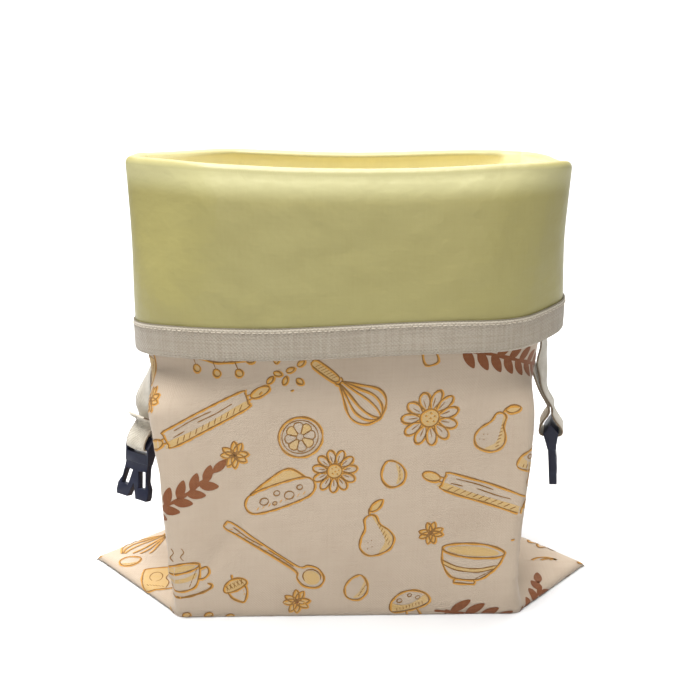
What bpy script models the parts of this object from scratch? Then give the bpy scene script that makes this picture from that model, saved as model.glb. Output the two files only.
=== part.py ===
"""Bread bag of printed linen with a coated lining, standing open with its mouth turned down.

The bag is a flat tube of two panels, joined at the sides and along the bottom. Stood up, its
bottom corners fold flat and lie on the floor as two pointed ears, and the top is turned outwards
as a deep cuff that shows the lining. A tape binds the cuff's edge. Each side has a webbing strap
with the plug half of a side-release buckle.

Metres, +Z up, front at -Y. The origin is the middle of the footprint, on the floor.
The sizes below are in millimetres, and MM turns them into metres.
"""
import math
from collections import namedtuple

import bmesh
import bpy
from mathutils import Matrix, Vector

MM = 0.001

# ---------------------------------------------------------------- driving sizes
FLAT_WIDTH = 300.0       # one panel laid flat, side seam to side seam
LEFT_EAR = 60.0          # the corner that each side folds flat on the floor
RIGHT_EAR = 48.0
CUFF_GIRTH = 604.0       # the turned cuff is stretched a little round the body
RIM_HEIGHT = 245.0
CUFF_EDGE = 147.0        # middling height of the cuff's lower edge
CLOTH = 1.0              # one layer of cloth or tape
GAP = 0.3                # between two pieces that touch
TURN_RADIUS = 1.2        # inside the fold at the rim
ROUND_FRONT = 1.5        # a soft corner reaches this much further along the front than along the side
EDGE_ROOM = 4.8          # between body and cuff, at the cuff's lower edge
EAR_THICKNESS = 3.0      # the layers of an ear, pressed flat
BINDING_FRONT = 17.5     # height of the tape on the lining's side
BINDING_BACK = 10.0      # and on the cloth's side
WEBBING = 1.1
WEBBING_WIDTH = 13.8

# The bag in plan at its outer face: x of the sides, y of the four corners.
Plan = namedtuple("Plan", "height left right front_left front_right back_left back_right")
BODY_PLANS = (
    Plan(0.0, -90.0, 102.0, -60.0, -54.3, 60.8, 41.7),
    Plan(20.0, -93.5, 101.0, -60.5, -56.5, 57.5, 46.0),
    Plan(44.0, -95.5, 102.5, -60.5, -58.0, 55.0, 50.0),
    Plan(80.0, -98.0, 104.5, -57.5, -56.0, 52.5, 49.0),
    Plan(112.0, -102.0, 108.0, -54.5, -53.5, 50.0, 48.5),
    Plan(147.0, -105.0, 111.0, -50.0, -50.0, 50.0, 50.0),
)
CUFF_PLANS = (
    Plan(140.0, -112.0, 121.8, -55.5, -56.5, 56.0, 57.0),
    Plan(165.0, -111.6, 121.3, -55.0, -55.5, 56.0, 56.5),
    Plan(205.0, -110.2, 120.8, -52.5, -53.5, 55.0, 55.0),
    Plan(245.0, -111.2, 121.8, -49.0, -51.0, 53.0, 53.0),
)

# How the rim and the cuff's edge rise and fall along the girth, from the left seam by the front.
Level = namedtuple("Level", "along height")
RIM_LEVELS = (
    Level(0.0, 244.0), Level(66.0, 247.7), Level(129.0, 244.8), Level(183.0, 244.8), Level(252.0, 247.8),
    Level(300.0, 244.8), Level(375.0, 246.0), Level(450.0, 244.5), Level(530.0, 247.0),
)
EDGE_LEVELS = (
    Level(0.0, 142.5), Level(24.0, 145.5), Level(60.0, 149.0), Level(110.0, 149.2), Level(200.0, 153.3),
    Level(238.0, 153.6), Level(266.0, 157.0), Level(300.0, 157.5), Level(335.0, 156.0),
    Level(450.0, 151.0), Level(560.0, 145.0),
)

# Soft folds in the cloth: where along the girth and how high, their reach, and how deep.
Fold = namedtuple("Fold", "along height reach_along reach_up depth")
BODY_FOLDS = (
    Fold(0.0, 150.0, 26.0, 34.0, -1.6),      # both sides give way to the straps
    Fold(300.0, 155.0, 26.0, 34.0, -1.6),
    Fold(62.0, 14.0, 14.0, 16.0, 0.9),       # knuckles over the bottom corners
    Fold(250.0, 14.0, 14.0, 16.0, 1.4),
    Fold(34.0, 26.0, 13.0, 22.0, -3.0),      # hollow beside the left knuckle
    Fold(274.0, 30.0, 12.0, 24.0, -2.4),
    Fold(150.0, 60.0, 60.0, 45.0, 1.5),      # belly of the front
    Fold(230.0, 90.0, 10.0, 60.0, -1.2),     # long trough near the front's right end
    Fold(455.0, 66.0, 55.0, 45.0, 1.4),
    Fold(395.0, 50.0, 14.0, 40.0, -1.6),
    Fold(548.0, 44.0, 15.0, 36.0, -1.8),
)
CUFF_FOLDS = (
    Fold(48.0, 205.0, 16.0, 40.0, -1.4),     # crease below the pinched left end
    Fold(95.0, 190.0, 22.0, 60.0, 0.9),
    Fold(175.0, 200.0, 30.0, 60.0, -1.0),
    Fold(252.0, 185.0, 16.0, 50.0, -1.3),
    Fold(276.0, 160.0, 14.0, 30.0, 1.2),
    Fold(350.0, 195.0, 20.0, 50.0, -1.2),
    Fold(440.0, 185.0, 32.0, 60.0, 1.0),
    Fold(520.0, 200.0, 24.0, 50.0, -1.3),
)

# Columns run up the cloth: even steps across each ear's width and across the face between.
EAR_COLUMNS = 5
FACE_COLUMNS = 14
PANEL_COLUMNS = 2 * EAR_COLUMNS + FACE_COLUMNS
COLUMNS = 2 * PANEL_COLUMNS
WALL_HEIGHTS = (12.0, 26.0, 42.0, 60.0, 80.0, 100.0, 116.0, 128.0, 138.0, 150.0, 168.0, 190.0, 214.0)
CUFF_STEPS = 4           # rows of the cuff between the rim and the binding
TURN_STEPS = 4           # rows round the fold at the rim

# ---------------------------------------------------------------- derived sizes
FACE_WIDTH = FLAT_WIDTH - LEFT_EAR - RIGHT_EAR
GIRTH = 2 * FLAT_WIDTH
LINING_BACK = CLOTH + GAP             # depth in the cuff's stack where the lining begins
STACK = LINING_BACK + CLOTH           # cloth, gap and lining
TURN_HEIGHT = TURN_RADIUS + STACK
CORNER_SAVES = 0.46      # a soft corner is this much of its short leg shorter than a sharp one

LINEN = ("printed_linen", (0.74, 0.63, 0.51), 0.85)
COATED = ("coated_lining", (0.74, 0.68, 0.27), 0.45)
TAPE = ("linen_tape", (0.55, 0.46, 0.33), 0.9)
TWILL = ("cotton_webbing", (0.64, 0.60, 0.50), 0.85)
PLASTIC = ("buckle_plastic", (0.018, 0.020, 0.045), 0.4)


# ---------------------------------------------------------------- smooth tables
def smooth(low, high, value):
    """0 at or below low, 1 at or above high, and a smooth rise between."""
    part = min(max((value - low) / (high - low), 0.0), 1.0)
    return part * part * (3 - 2 * part)


def smooth_row(rows, value, period=None):
    """The row of a table at a value of its first column, on a curve through the rows."""
    count = len(rows)

    def row(index):
        if period is None:
            return rows[min(max(index, 0), count - 1)]
        turns, place = divmod(index, count)
        return rows[place]._replace(along=rows[place].along + turns * period)

    upper = next((i for i in range(count) if rows[i][0] > value), count)
    if period is None:
        upper = min(max(upper, 1), count - 1)
    before, low, high, after = (row(upper + step) for step in (-2, -1, 0, 1))
    span = high[0] - low[0]
    part = min(max((value - low[0]) / span, 0.0), 1.0)
    result = []
    for a, b, c, d in zip(before, low, high, after):
        rise_low = (c - a) * span / max(high[0] - before[0], span)
        rise_high = (d - b) * span / max(after[0] - low[0], span)
        result.append((2 * part**3 - 3 * part**2 + 1) * b + (part**3 - 2 * part**2 + part) * rise_low
                      + (3 * part**2 - 2 * part**3) * c + (part**3 - part**2) * rise_high)
    return type(rows[0])(*result)


# ---------------------------------------------------------------- the bag in plan
def panel_stations():
    """How far each column of a panel lies from the left seam."""
    steps = ([LEFT_EAR / EAR_COLUMNS] * EAR_COLUMNS + [FACE_WIDTH / FACE_COLUMNS] * FACE_COLUMNS
             + [RIGHT_EAR / EAR_COLUMNS] * EAR_COLUMNS)
    stations = [0.0]
    for step in steps:
        stations.append(stations[-1] + step)
    return stations


STATIONS = panel_stations()
# Every column's place along the girth: the front from left to right, then the back from right to left.
ALONG = STATIONS[:-1] + [GIRTH - s for s in reversed(STATIONS[1:])]
RIM_LEVEL = [smooth_row(RIM_LEVELS, along, GIRTH).height for along in ALONG]
EDGE_LEVEL = [smooth_row(EDGE_LEVELS, along, GIRTH).height for along in ALONG]


def half_outline(start, corners, end, softness):
    """Points from one seam to the other round two corners, each softened to a curve."""
    points = [start]
    path = [start, *corners, end]
    for index in (1, 2):
        corner = path[index]
        reach_before, reach_after = (1.0, ROUND_FRONT) if index == 1 else (ROUND_FRONT, 1.0)
        entry = corner + (path[index - 1] - corner).normalized() * softness * reach_before
        leave = corner + (path[index + 1] - corner).normalized() * softness * reach_after
        for step in range(9):
            part = step / 8
            points.append(entry * (1 - part)**2 + corner * 2 * part * (1 - part) + leave * part**2)
    return points + [end]


def spread(points, stations):
    """Points of a polyline at the stations, as shares of the panel's width."""
    lengths = [0.0]
    for a, b in zip(points, points[1:]):
        lengths.append(lengths[-1] + (b - a).length)
    result = []
    for station in stations:
        target = lengths[-1] * station / FLAT_WIDTH
        index = next((i for i in range(1, len(points)) if lengths[i] >= target - 1e-9), len(points) - 1)
        span = max(lengths[index] - lengths[index - 1], 1e-9)
        result.append(points[index - 1].lerp(points[index], (target - lengths[index - 1]) / span))
    return result


def plan_ring(plan, girth):
    """The plan's outline at every column. Its corners are as soft as the girth asks."""
    front_left = Vector((plan.left, plan.front_left))
    front_right = Vector((plan.right, plan.front_right))
    back_left = Vector((plan.left, plan.back_left))
    back_right = Vector((plan.right, plan.back_right))
    corners = [front_left, front_right, back_right, back_left]
    sides = sum((a - b).length for a, b in zip(corners, corners[1:] + corners[:1]))
    shortest = min(plan.back_left - plan.front_left, plan.back_right - plan.front_right)
    softness = min(max((sides - girth) / (4 * CORNER_SAVES), 0.05), 0.49 * shortest)
    left_seam = (front_left + back_left) / 2
    right_seam = (front_right + back_right) / 2
    front = spread(half_outline(left_seam, corners[:2], right_seam, softness), STATIONS)
    back = spread(half_outline(left_seam, [back_left, back_right], right_seam, softness), STATIONS)
    return front[:-1] + list(reversed(back[1:]))


def outward(ring):
    """At each point, the step that moves both neighbouring sides outwards by 1."""
    steps = []
    for index, point in enumerate(ring):
        before = (point - ring[index - 1]).normalized()
        after = (ring[(index + 1) % len(ring)] - point).normalized()
        normal_before = Vector((before.y, -before.x))
        normal_after = Vector((after.y, -after.x))
        steps.append((normal_before + normal_after) / (1 + normal_before.dot(normal_after)))
    return steps


def grown(ring, distance):
    return [point + step * distance for point, step in zip(ring, outward(ring))]


def fold_depth(folds, along, height):
    """What the folds add at one place, along the girth and up."""
    depth = 0.0
    for fold in folds:
        around = (along - fold.along + GIRTH / 2) % GIRTH - GIRTH / 2
        depth += fold.depth * math.exp(-(around / fold.reach_along)**2
                                       - ((height - fold.height) / fold.reach_up)**2)
    return depth


def folded(ring, folds, height):
    depths = [fold_depth(folds, along, height) for along in ALONG]
    return [point + step * depth for point, step, depth in zip(ring, outward(ring), depths)]


def cuff_ring(height):
    """The lining's face of the cuff."""
    return folded(plan_ring(smooth_row(CUFF_PLANS, height), CUFF_GIRTH), CUFF_FOLDS, height)


def body_ring(height):
    """The outer face of the body. Behind the cuff it follows the cuff, further in."""
    below = folded(plan_ring(smooth_row(BODY_PLANS, height), GIRTH), BODY_FOLDS, height)
    hidden = smooth(CUFF_EDGE - 30.0, CUFF_EDGE - 6.0, height)
    if hidden == 0.0:
        return below
    top = RIM_HEIGHT - TURN_HEIGHT
    room = EDGE_ROOM + (2 * TURN_RADIUS - EDGE_ROOM) * smooth(CUFF_EDGE + 10.0, top, height)
    behind = grown(cuff_ring(max(height, CUFF_EDGE)), -STACK - room)
    strap_room = [fold_depth(BODY_FOLDS[:2], along, height) for along in ALONG]
    behind = [point + step * depth for point, step, depth in zip(behind, outward(behind), strap_room)]
    return [a.lerp(b, hidden) for a, b in zip(below, behind)]


# ---------------------------------------------------------------- rows of the cloth
def raised(ring, heights):
    return [Vector((point.x, point.y, height)) for point, height in zip(ring, heights)]


def lift(height):
    """Heights of one row of the body, which rises and falls with the rim the more the higher it is."""
    share = (height / RIM_HEIGHT)**2
    return [height + (level - RIM_HEIGHT) * share for level in RIM_LEVEL]


def wall_rows(depth):
    """Rows up the body, moved in by depth from its outer face."""
    heights = WALL_HEIGHTS + (RIM_HEIGHT - TURN_HEIGHT,)
    return [raised(grown(body_ring(height), -depth), lift(height)) for height in heights]


def turn_rows(depth):
    """Rows over the rim, between the body's last row and the cuff's first."""
    centre = grown(cuff_ring(RIM_HEIGHT), -STACK - TURN_RADIUS)
    radius = TURN_RADIUS + depth
    rows = []
    for step in range(1, TURN_STEPS):
        angle = math.pi * step / TURN_STEPS
        heights = [z + radius * math.sin(angle) for z in lift(RIM_HEIGHT - TURN_HEIGHT)]
        rows.append(raised(grown(centre, -radius * math.cos(angle)), heights))
    return rows


def cuff_point_row(ring_height, heights, depth):
    return raised(grown(cuff_ring(ring_height), depth - STACK), heights)


def cuff_rows(depth):
    """Rows down the cuff. Depth counts outwards from the cloth's face towards the body."""
    top = lift(RIM_HEIGHT - TURN_HEIGHT)
    rows = []
    for step in range(CUFF_STEPS):
        share = step / CUFF_STEPS
        ring_height = RIM_HEIGHT + (CUFF_EDGE + BINDING_FRONT - RIM_HEIGHT) * share
        heights = [high + (edge + BINDING_FRONT - high) * share for high, edge in zip(top, EDGE_LEVEL)]
        rows.append(cuff_point_row(ring_height, heights, depth))
    for above in (BINDING_FRONT, BINDING_BACK, 0.0):
        rows.append(edge_row(above, depth))
    return rows


def edge_row(above, depth, lower=0.0):
    """A row near the cuff's edge, a height above it or a little lower than it."""
    heights = [edge + above - lower for edge in EDGE_LEVEL]
    return cuff_point_row(CUFF_EDGE + above, heights, depth)


# ---------------------------------------------------------------- meshes
class Skin:
    """Points and triangles of one solid, gathered in a bmesh."""

    def __init__(self):
        self.mesh = bmesh.new()

    def row(self, points):
        return [self.mesh.verts.new(point * MM) for point in points]

    def band(self, low, high, closed=True):
        """The cloth between two rows, each cell cut in two the way that the ears are folded."""
        for index in range(len(low) if closed else len(low) - 1):
            after = (index + 1) % len(low)
            corners = [low[index], low[after], high[after], high[index]]
            if index % PANEL_COLUMNS >= PANEL_COLUMNS // 2:
                corners = corners[1:] + corners[:1]
            a, b, c, d = corners
            self.mesh.faces.new((a, b, c))
            self.mesh.faces.new((a, c, d))

    def bands(self, rows):
        for low, high in zip(rows, rows[1:]):
            self.band(low, high)

    def object(self, name, look):
        bmesh.ops.recalc_face_normals(self.mesh, faces=self.mesh.faces)
        data = bpy.data.meshes.new(name)
        self.mesh.to_mesh(data)
        self.mesh.free()
        return add_object(name, data, look)


def material(look):
    """A Principled material with the piece's colour and roughness."""
    name, colour, roughness = look
    if name in bpy.data.materials:
        return bpy.data.materials[name]
    finish = bpy.data.materials.new(name)
    finish.use_nodes = True
    shader = finish.node_tree.nodes["Principled BSDF"]
    shader.inputs["Base Color"].default_value = (*colour, 1.0)
    shader.inputs["Roughness"].default_value = roughness
    shader.inputs["Metallic"].default_value = 0.0
    return finish


def add_object(name, data, look):
    piece = bpy.data.objects.new(name, data)
    bpy.context.scene.collection.objects.link(piece)
    data.materials.append(material(look))
    return piece


def floor_cap(skin, ring):
    """Closes the box bottom inside a ring: a grid between the front, the back and the two sides."""
    front = ring[EAR_COLUMNS:EAR_COLUMNS + FACE_COLUMNS + 1]
    back_start = PANEL_COLUMNS + EAR_COLUMNS
    back = list(reversed(ring[back_start:back_start + FACE_COLUMNS + 1]))
    right = ring[EAR_COLUMNS + FACE_COLUMNS:back_start + 1]
    left = list(reversed(ring[back_start + FACE_COLUMNS:] + ring[:EAR_COLUMNS + 1]))
    rows = [front]
    depth_steps = 2 * EAR_COLUMNS
    for step in range(1, depth_steps):
        share = step / depth_steps
        row = [left[step]]
        for column in range(1, FACE_COLUMNS):
            across = column / FACE_COLUMNS
            straight = front[column].co.lerp(back[column].co, share)
            ends = left[step].co.lerp(right[step].co, across)
            flat = front[0].co.lerp(front[-1].co, across).lerp(back[0].co.lerp(back[-1].co, across), share)
            row.append(skin.mesh.verts.new(straight + ends - flat))
        rows.append(row + [right[step]])
    rows.append(back)
    for low, high in zip(rows, rows[1:]):
        skin.band(low, high, closed=False)


# ---------------------------------------------------------------- outer cloth
def ear_rise(inward):
    """How thick an ear is, a number of columns in from its folded edge."""
    return EAR_THICKNESS * min(1.0, 0.72 * inward)


def base_point(panel_row, column, front):
    """The underside and the ears: a panel's lowest stretch, folded flat.

    Column counts from the left seam, and panel_row from the bottom seam to the foot of the wall.
    """
    plan = BODY_PLANS[0]
    from_left = column <= PANEL_COLUMNS / 2
    if from_left:
        x, ear, inward = plan.left, -LEFT_EAR, column
        y_front, y_back = plan.front_left, plan.back_left
    else:
        x, ear, inward = plan.right, RIGHT_EAR, PANEL_COLUMNS - column
        y_front, y_back = plan.front_right, plan.back_right
    seam = Vector((x, (y_front + y_back) / 2, 0.0))
    tip = seam + Vector((ear, 0.0, 0.0))
    corner = Vector((x, y_front if front else y_back, 0.0))
    if inward <= EAR_COLUMNS:
        out, up = sorted((inward, panel_row), reverse=True)
        point = tip + (seam - tip) * (out / EAR_COLUMNS) + (corner - seam) * (up / EAR_COLUMNS)
        if panel_row > inward:
            point.z = ear_rise(panel_row - inward)
        return point
    left_seam = Vector((plan.left, (plan.front_left + plan.back_left) / 2, 0.0))
    right_seam = Vector((plan.right, (plan.front_right + plan.back_right) / 2, 0.0))
    left_corner = Vector((plan.left, plan.front_left if front else plan.back_left, 0.0))
    right_corner = Vector((plan.right, plan.front_right if front else plan.back_right, 0.0))
    across = (column - EAR_COLUMNS) / FACE_COLUMNS
    up = panel_row / EAR_COLUMNS
    return left_seam.lerp(right_seam, across).lerp(left_corner.lerp(right_corner, across), up)


def outer_cloth():
    """Printed linen: underside, ears, walls, and over the rim to the cuff's edge."""
    skin = Skin()
    seam = skin.row([base_point(0, column, True) for column in range(PANEL_COLUMNS + 1)])
    rows = [seam[:-1] + list(reversed(seam[1:]))]
    for panel_row in range(1, EAR_COLUMNS + 1):
        front = [base_point(panel_row, column, True) for column in range(PANEL_COLUMNS)]
        back = [base_point(panel_row, column, False) for column in range(PANEL_COLUMNS, 0, -1)]
        rows.append(skin.row(front + back))
    for points in wall_rows(0.0) + turn_rows(0.0) + cuff_rows(0.0):
        rows.append(skin.row(points))
    inner = [skin.row(raised(grown(body_ring(0.0), -CLOTH), [CLOTH] * COLUMNS))]
    for points in wall_rows(CLOTH) + turn_rows(CLOTH) + cuff_rows(CLOTH):
        inner.append(skin.row(points))
    skin.bands(rows)
    skin.bands(inner)
    skin.band(rows[-1], inner[-1])
    floor_cap(skin, inner[0])
    return skin.object("outer_cloth", LINEN)


def lining():
    """Coated lining: a box-bottomed bag just inside the cloth, over the rim and down the cuff."""
    skin = Skin()
    faces = []
    for depth in (LINING_BACK, STACK):
        rows = [skin.row(raised(grown(body_ring(0.0), -depth), [depth] * COLUMNS))]
        for points in wall_rows(depth) + turn_rows(depth) + cuff_rows(depth):
            rows.append(skin.row(points))
        skin.bands(rows)
        floor_cap(skin, rows[0])
        faces.append(rows)
    skin.band(faces[0][-1], faces[1][-1])
    return skin.object("lining", COATED)


def binding():
    """Linen tape folded over the cuff's lower edge, taller on the lining's side."""
    skin = Skin()
    inner_face, inner_back = -GAP - CLOTH, -GAP
    outer_back, outer_face = STACK + GAP, STACK + GAP + CLOTH
    under = GAP + CLOTH
    rows = [
        edge_row(BINDING_BACK, inner_back),
        edge_row(0.0, inner_back, GAP),
        edge_row(0.0, outer_back, GAP),
        edge_row(BINDING_BACK, outer_back),
        edge_row(BINDING_FRONT, outer_back),
        edge_row(BINDING_FRONT, outer_face),
        edge_row(BINDING_BACK, outer_face),
        edge_row(0.0, outer_face, 0.5 * GAP),
        edge_row(0.0, outer_face - 0.6 * CLOTH, under),
        edge_row(0.0, inner_face + 0.6 * CLOTH, under),
        edge_row(0.0, inner_face, 0.5 * GAP),
        edge_row(BINDING_BACK, inner_face),
    ]
    loops = [skin.row(points) for points in rows]
    skin.bands(loops + loops[:1])
    return skin.object("binding", TAPE)


# ---------------------------------------------------------------- buckle plugs
# In a plug's own frame: x across it, y through it, z up, with the origin at the top of its bar.
PLUG_HALF = 8.1          # half the width at the bar
BAR_HALF = 8.4           # the bar's ends stand a little proud
BAR_HALF_THICKNESS = 4.35
BAR_DEEPEST = 6.0        # where the bar is thickest, below its top edge
HEAD_HEIGHT = 16.0       # the bar and what tapers from it into the prongs
HEAD_FOOT = 2.3          # half its thickness there
SLOT_HALF = 7.3
SLOT_TOP = -6.8
SLOT_HEIGHT = 3.2
PRONG_THICKNESS = 4.3
PLUG_LENGTH = 37.1

Spot = namedtuple("Spot", "x z")
PRONG_OUTLINE = (        # right half, from the bar down to the notch between the prongs
    Spot(PLUG_HALF, -9.0), Spot(PLUG_HALF, -19.0), Spot(9.0, -26.0), Spot(11.3, -30.0),
    Spot(11.7, -34.5), Spot(11.1, -PLUG_LENGTH), Spot(3.0, -PLUG_LENGTH),
)
NOTCH = Spot(0.0, -28.2)
PRONG_SLOT = Spot(5.6, -25.4)
PRONG_SLOT_SIZE = (3.2, 7.6)
PRONG_SLOT_LEAN = 9.0

Hang = namedtuple("Hang", "x y z turn lean tilt")
LEFT_PLUG = Hang(-115.2, -3.0, 85.4, 152.4, 2.4, 16.5)
RIGHT_PLUG = Hang(124.4, -1.5, 95.4, 76.0, -6.6, 0.0)


def plug_place(hang):
    """Where a plug hangs: its foot swung out, turned about the vertical, then leaning sideways."""
    return (Matrix.Translation(Vector((hang.x, hang.y, hang.z)) * MM)
            @ Matrix.Rotation(math.radians(hang.lean), 4, "Y")
            @ Matrix.Rotation(math.radians(hang.turn), 4, "Z")
            @ Matrix.Rotation(math.radians(hang.tilt), 4, "X"))


def prism(name, outline, low, high, place, to_point):
    """A straight-sided block on an outline, from low to high along the third direction."""
    mesh = bmesh.new()
    ends = []
    for level in (low, high):
        ends.append([mesh.verts.new(to_point(spot, level) * MM) for spot in outline])
    mesh.faces.new(ends[0])
    mesh.faces.new(ends[1])
    for index in range(len(outline)):
        after = (index + 1) % len(outline)
        mesh.faces.new((ends[0][index], ends[0][after], ends[1][after], ends[1][index]))
    bmesh.ops.recalc_face_normals(mesh, faces=mesh.faces)
    mesh.transform(place)
    data = bpy.data.meshes.new(name)
    mesh.to_mesh(data)
    mesh.free()
    return data


def helper(name, data, target, operation):
    """A hidden solid that is joined to a target, or cut out of it."""
    guide = bpy.data.objects.new(name, data)
    bpy.context.scene.collection.objects.link(guide)
    guide.hide_render = True
    guide.display_type = "WIRE"
    step = target.modifiers.new(name, "BOOLEAN")
    step.operation = operation
    step.object = guide


def plug(name, hang):
    """Male half of the buckle: a thick bar for the webbing over two prongs with barbed feet."""
    place = plug_place(hang)

    def facing(spot, level):
        return Vector((spot.x, level, spot.z))

    def sideways(spot, level):
        return Vector((level, spot.x, spot.z))

    left_half = [Spot(-spot.x, spot.z) for spot in reversed(PRONG_OUTLINE)]
    outline = [*PRONG_OUTLINE, NOTCH, *left_half]
    half = PRONG_THICKNESS / 2
    piece = add_object(name, prism(name, outline, -half, half, place, facing), PLASTIC)

    section = (Spot(0.0, 0.0), Spot(BAR_HALF_THICKNESS, -BAR_DEEPEST), Spot(HEAD_FOOT, -HEAD_HEIGHT),
               Spot(-HEAD_FOOT, -HEAD_HEIGHT), Spot(-BAR_HALF_THICKNESS, -BAR_DEEPEST))
    bar = prism(name + "_bar", section, -BAR_HALF, BAR_HALF, place, sideways)
    helper(name + "_bar", bar, piece, "UNION")

    slot = (Spot(-SLOT_HALF, SLOT_TOP), Spot(SLOT_HALF, SLOT_TOP),
            Spot(SLOT_HALF, SLOT_TOP - SLOT_HEIGHT), Spot(-SLOT_HALF, SLOT_TOP - SLOT_HEIGHT))
    helper(name + "_slot", prism(name + "_slot", slot, -8.0, 8.0, place, facing), piece, "DIFFERENCE")

    for side in (-1, 1):
        lean = math.radians(PRONG_SLOT_LEAN) * side
        corners = []
        for x, z in ((-1, -1), (1, -1), (1, 1), (-1, 1)):
            across, up = x * PRONG_SLOT_SIZE[0] / 2, z * PRONG_SLOT_SIZE[1] / 2
            corners.append(Spot(side * PRONG_SLOT.x + across * math.cos(lean) - up * math.sin(lean),
                                PRONG_SLOT.z + across * math.sin(lean) + up * math.cos(lean)))
        cutter = prism(name + "_prong_slot", corners, -8.0, 8.0, place, facing)
        helper(f"{name}_prong_slot_{side + 2}", cutter, piece, "DIFFERENCE")
    return piece


# ---------------------------------------------------------------- straps
# The webbing's way round the bar, in the plug's frame: across the bar's thickness, and up.
Turn = namedtuple("Turn", "y z")
ROUND_THE_BAR = (
    Turn(-0.85, 9.0), Turn(-1.6, 5.4), Turn(-3.8, 1.4), Turn(-5.8, -2.8), Turn(-6.4, -5.8),
    Turn(-4.9, -7.65), Turn(0.0, -7.65), Turn(4.9, -7.65), Turn(6.4, -5.8), Turn(5.8, -2.8),
    Turn(3.8, 1.4), Turn(1.6, 5.4), Turn(0.85, 9.0),
)
LEFT_BULGE = 0.92        # the left webbing lies closer round its bar
RIGHT_BULGE = 1.0
# Stations of a strap above its plug: a point of its middle line and the way its width lies.
Drop = namedtuple("Drop", "x y z turn")
LEFT_DOWN = (
    Drop(-106.9, 0.0, 164.0, 90.0), Drop(-106.9, 0.0, 152.0, 90.0), Drop(-107.2, 0.0, 138.0, 92.0),
    Drop(-109.6, -0.3, 125.0, 108.0), Drop(-112.6, -0.8, 114.0, 126.0), Drop(-113.8, -1.0, 103.0, 142.0),
)
LEFT_TAIL = (Drop(-116.0, -4.2, 97.0, 149.0), Drop(-117.6, -6.4, 100.0, 143.0))
RIGHT_DOWN = (
    Drop(116.9, 0.0, 173.0, 90.0), Drop(116.9, 0.0, 165.0, 90.0), Drop(116.9, 0.0, 152.0, 90.0),
    Drop(116.4, 0.0, 140.0, 90.0), Drop(116.6, 0.0, 130.0, 90.0), Drop(119.0, -0.5, 120.0, 87.0),
    Drop(121.6, -1.0, 111.0, 82.0),
)
RIGHT_TAIL = tuple(drop._replace(x=drop.x - 1.5) for drop in reversed(RIGHT_DOWN))


def strap(name, down, hang, tail, bulge):
    """One length of webbing: down from the cuff, round the plug's bar and back up."""
    place = plug_place(hang)
    across = place.to_3x3() @ Vector((1.0, 0.0, 0.0))
    path = []
    for drop in down:
        turn = math.radians(drop.turn)
        path.append((Vector((drop.x, drop.y, drop.z)) * MM, Vector((math.cos(turn), math.sin(turn), 0.0))))
    for spot in ROUND_THE_BAR:
        path.append((place @ (Vector((0.0, spot.y * bulge, spot.z)) * MM), across))
    for drop in tail:
        turn = math.radians(drop.turn)
        path.append((Vector((drop.x, drop.y, drop.z)) * MM, Vector((math.cos(turn), math.sin(turn), 0.0))))

    mesh = bmesh.new()
    loops = []
    half_width, half_thick = WEBBING_WIDTH / 2 * MM, WEBBING / 2 * MM
    for index, (point, width) in enumerate(path):
        before = path[max(index - 1, 0)][0]
        after = path[min(index + 1, len(path) - 1)][0]
        along = (after - before).normalized()
        normal = along.cross(width).normalized()
        side = normal.cross(along).normalized()
        corners = ((-1, -1), (1, -1), (1, 1), (-1, 1))
        loops.append([mesh.verts.new(point + side * half_width * a + normal * half_thick * b)
                      for a, b in corners])
    for low, high in zip(loops, loops[1:]):
        for index in range(4):
            after = (index + 1) % 4
            mesh.faces.new((low[index], low[after], high[after], high[index]))
    mesh.faces.new(loops[0])
    mesh.faces.new(loops[-1])
    bmesh.ops.recalc_face_normals(mesh, faces=mesh.faces)
    data = bpy.data.meshes.new(name)
    mesh.to_mesh(data)
    mesh.free()
    return add_object(name, data, TWILL)


# ---------------------------------------------------------------- the bag
for leftover in list(bpy.data.objects):
    bpy.data.objects.remove(leftover, do_unlink=True)

outer_cloth()
lining()
binding()
plug("plug_left", LEFT_PLUG)
plug("plug_right", RIGHT_PLUG)
strap("strap_left", LEFT_DOWN, LEFT_PLUG, LEFT_TAIL, LEFT_BULGE)
strap("strap_right", RIGHT_DOWN, RIGHT_PLUG, RIGHT_TAIL, RIGHT_BULGE)
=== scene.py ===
"""Looks for the linen bread bag: printed linen, coated lining, bound edge, straps and buckle plugs.

The bag stands open with its mouth turned down. Sizes are in millimetres, MM turns them into metres,
and the frame is the model's own: front at -Y, +Z up, the floor at 0.
"""
import math
from collections import namedtuple

import bmesh
import bpy
import numpy as np
from mathutils import Matrix, Vector
from mathutils.geometry import delaunay_2d_cdt


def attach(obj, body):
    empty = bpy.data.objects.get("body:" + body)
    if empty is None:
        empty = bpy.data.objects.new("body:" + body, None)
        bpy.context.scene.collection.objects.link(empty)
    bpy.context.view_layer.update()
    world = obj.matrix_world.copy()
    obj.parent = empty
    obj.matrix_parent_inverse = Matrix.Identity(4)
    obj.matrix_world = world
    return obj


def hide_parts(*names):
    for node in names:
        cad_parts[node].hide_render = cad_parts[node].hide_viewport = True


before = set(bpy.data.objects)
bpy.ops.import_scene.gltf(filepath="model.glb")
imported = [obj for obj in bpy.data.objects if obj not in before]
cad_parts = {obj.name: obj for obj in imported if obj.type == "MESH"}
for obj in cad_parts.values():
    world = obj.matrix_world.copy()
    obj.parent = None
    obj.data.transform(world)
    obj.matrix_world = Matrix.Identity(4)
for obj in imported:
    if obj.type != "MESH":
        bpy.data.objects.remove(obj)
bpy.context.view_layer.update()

# ---------------------------------------------------------------- floor, light and camera
# A plain pale floor under soft studio light, seen from a little above the rim, square to the
# front. The camera stands where the photograph was taken from.
MM = 0.001
IMAGE_WIDTH = 700        # pixels, of the photograph
FOCAL = 860.0            # pixels
CAMERA_PLACE = (6.5, -469.4, 290.0)
CAMERA_DOWN = 18.0       # degrees below level
SENSOR = 36.0

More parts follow.
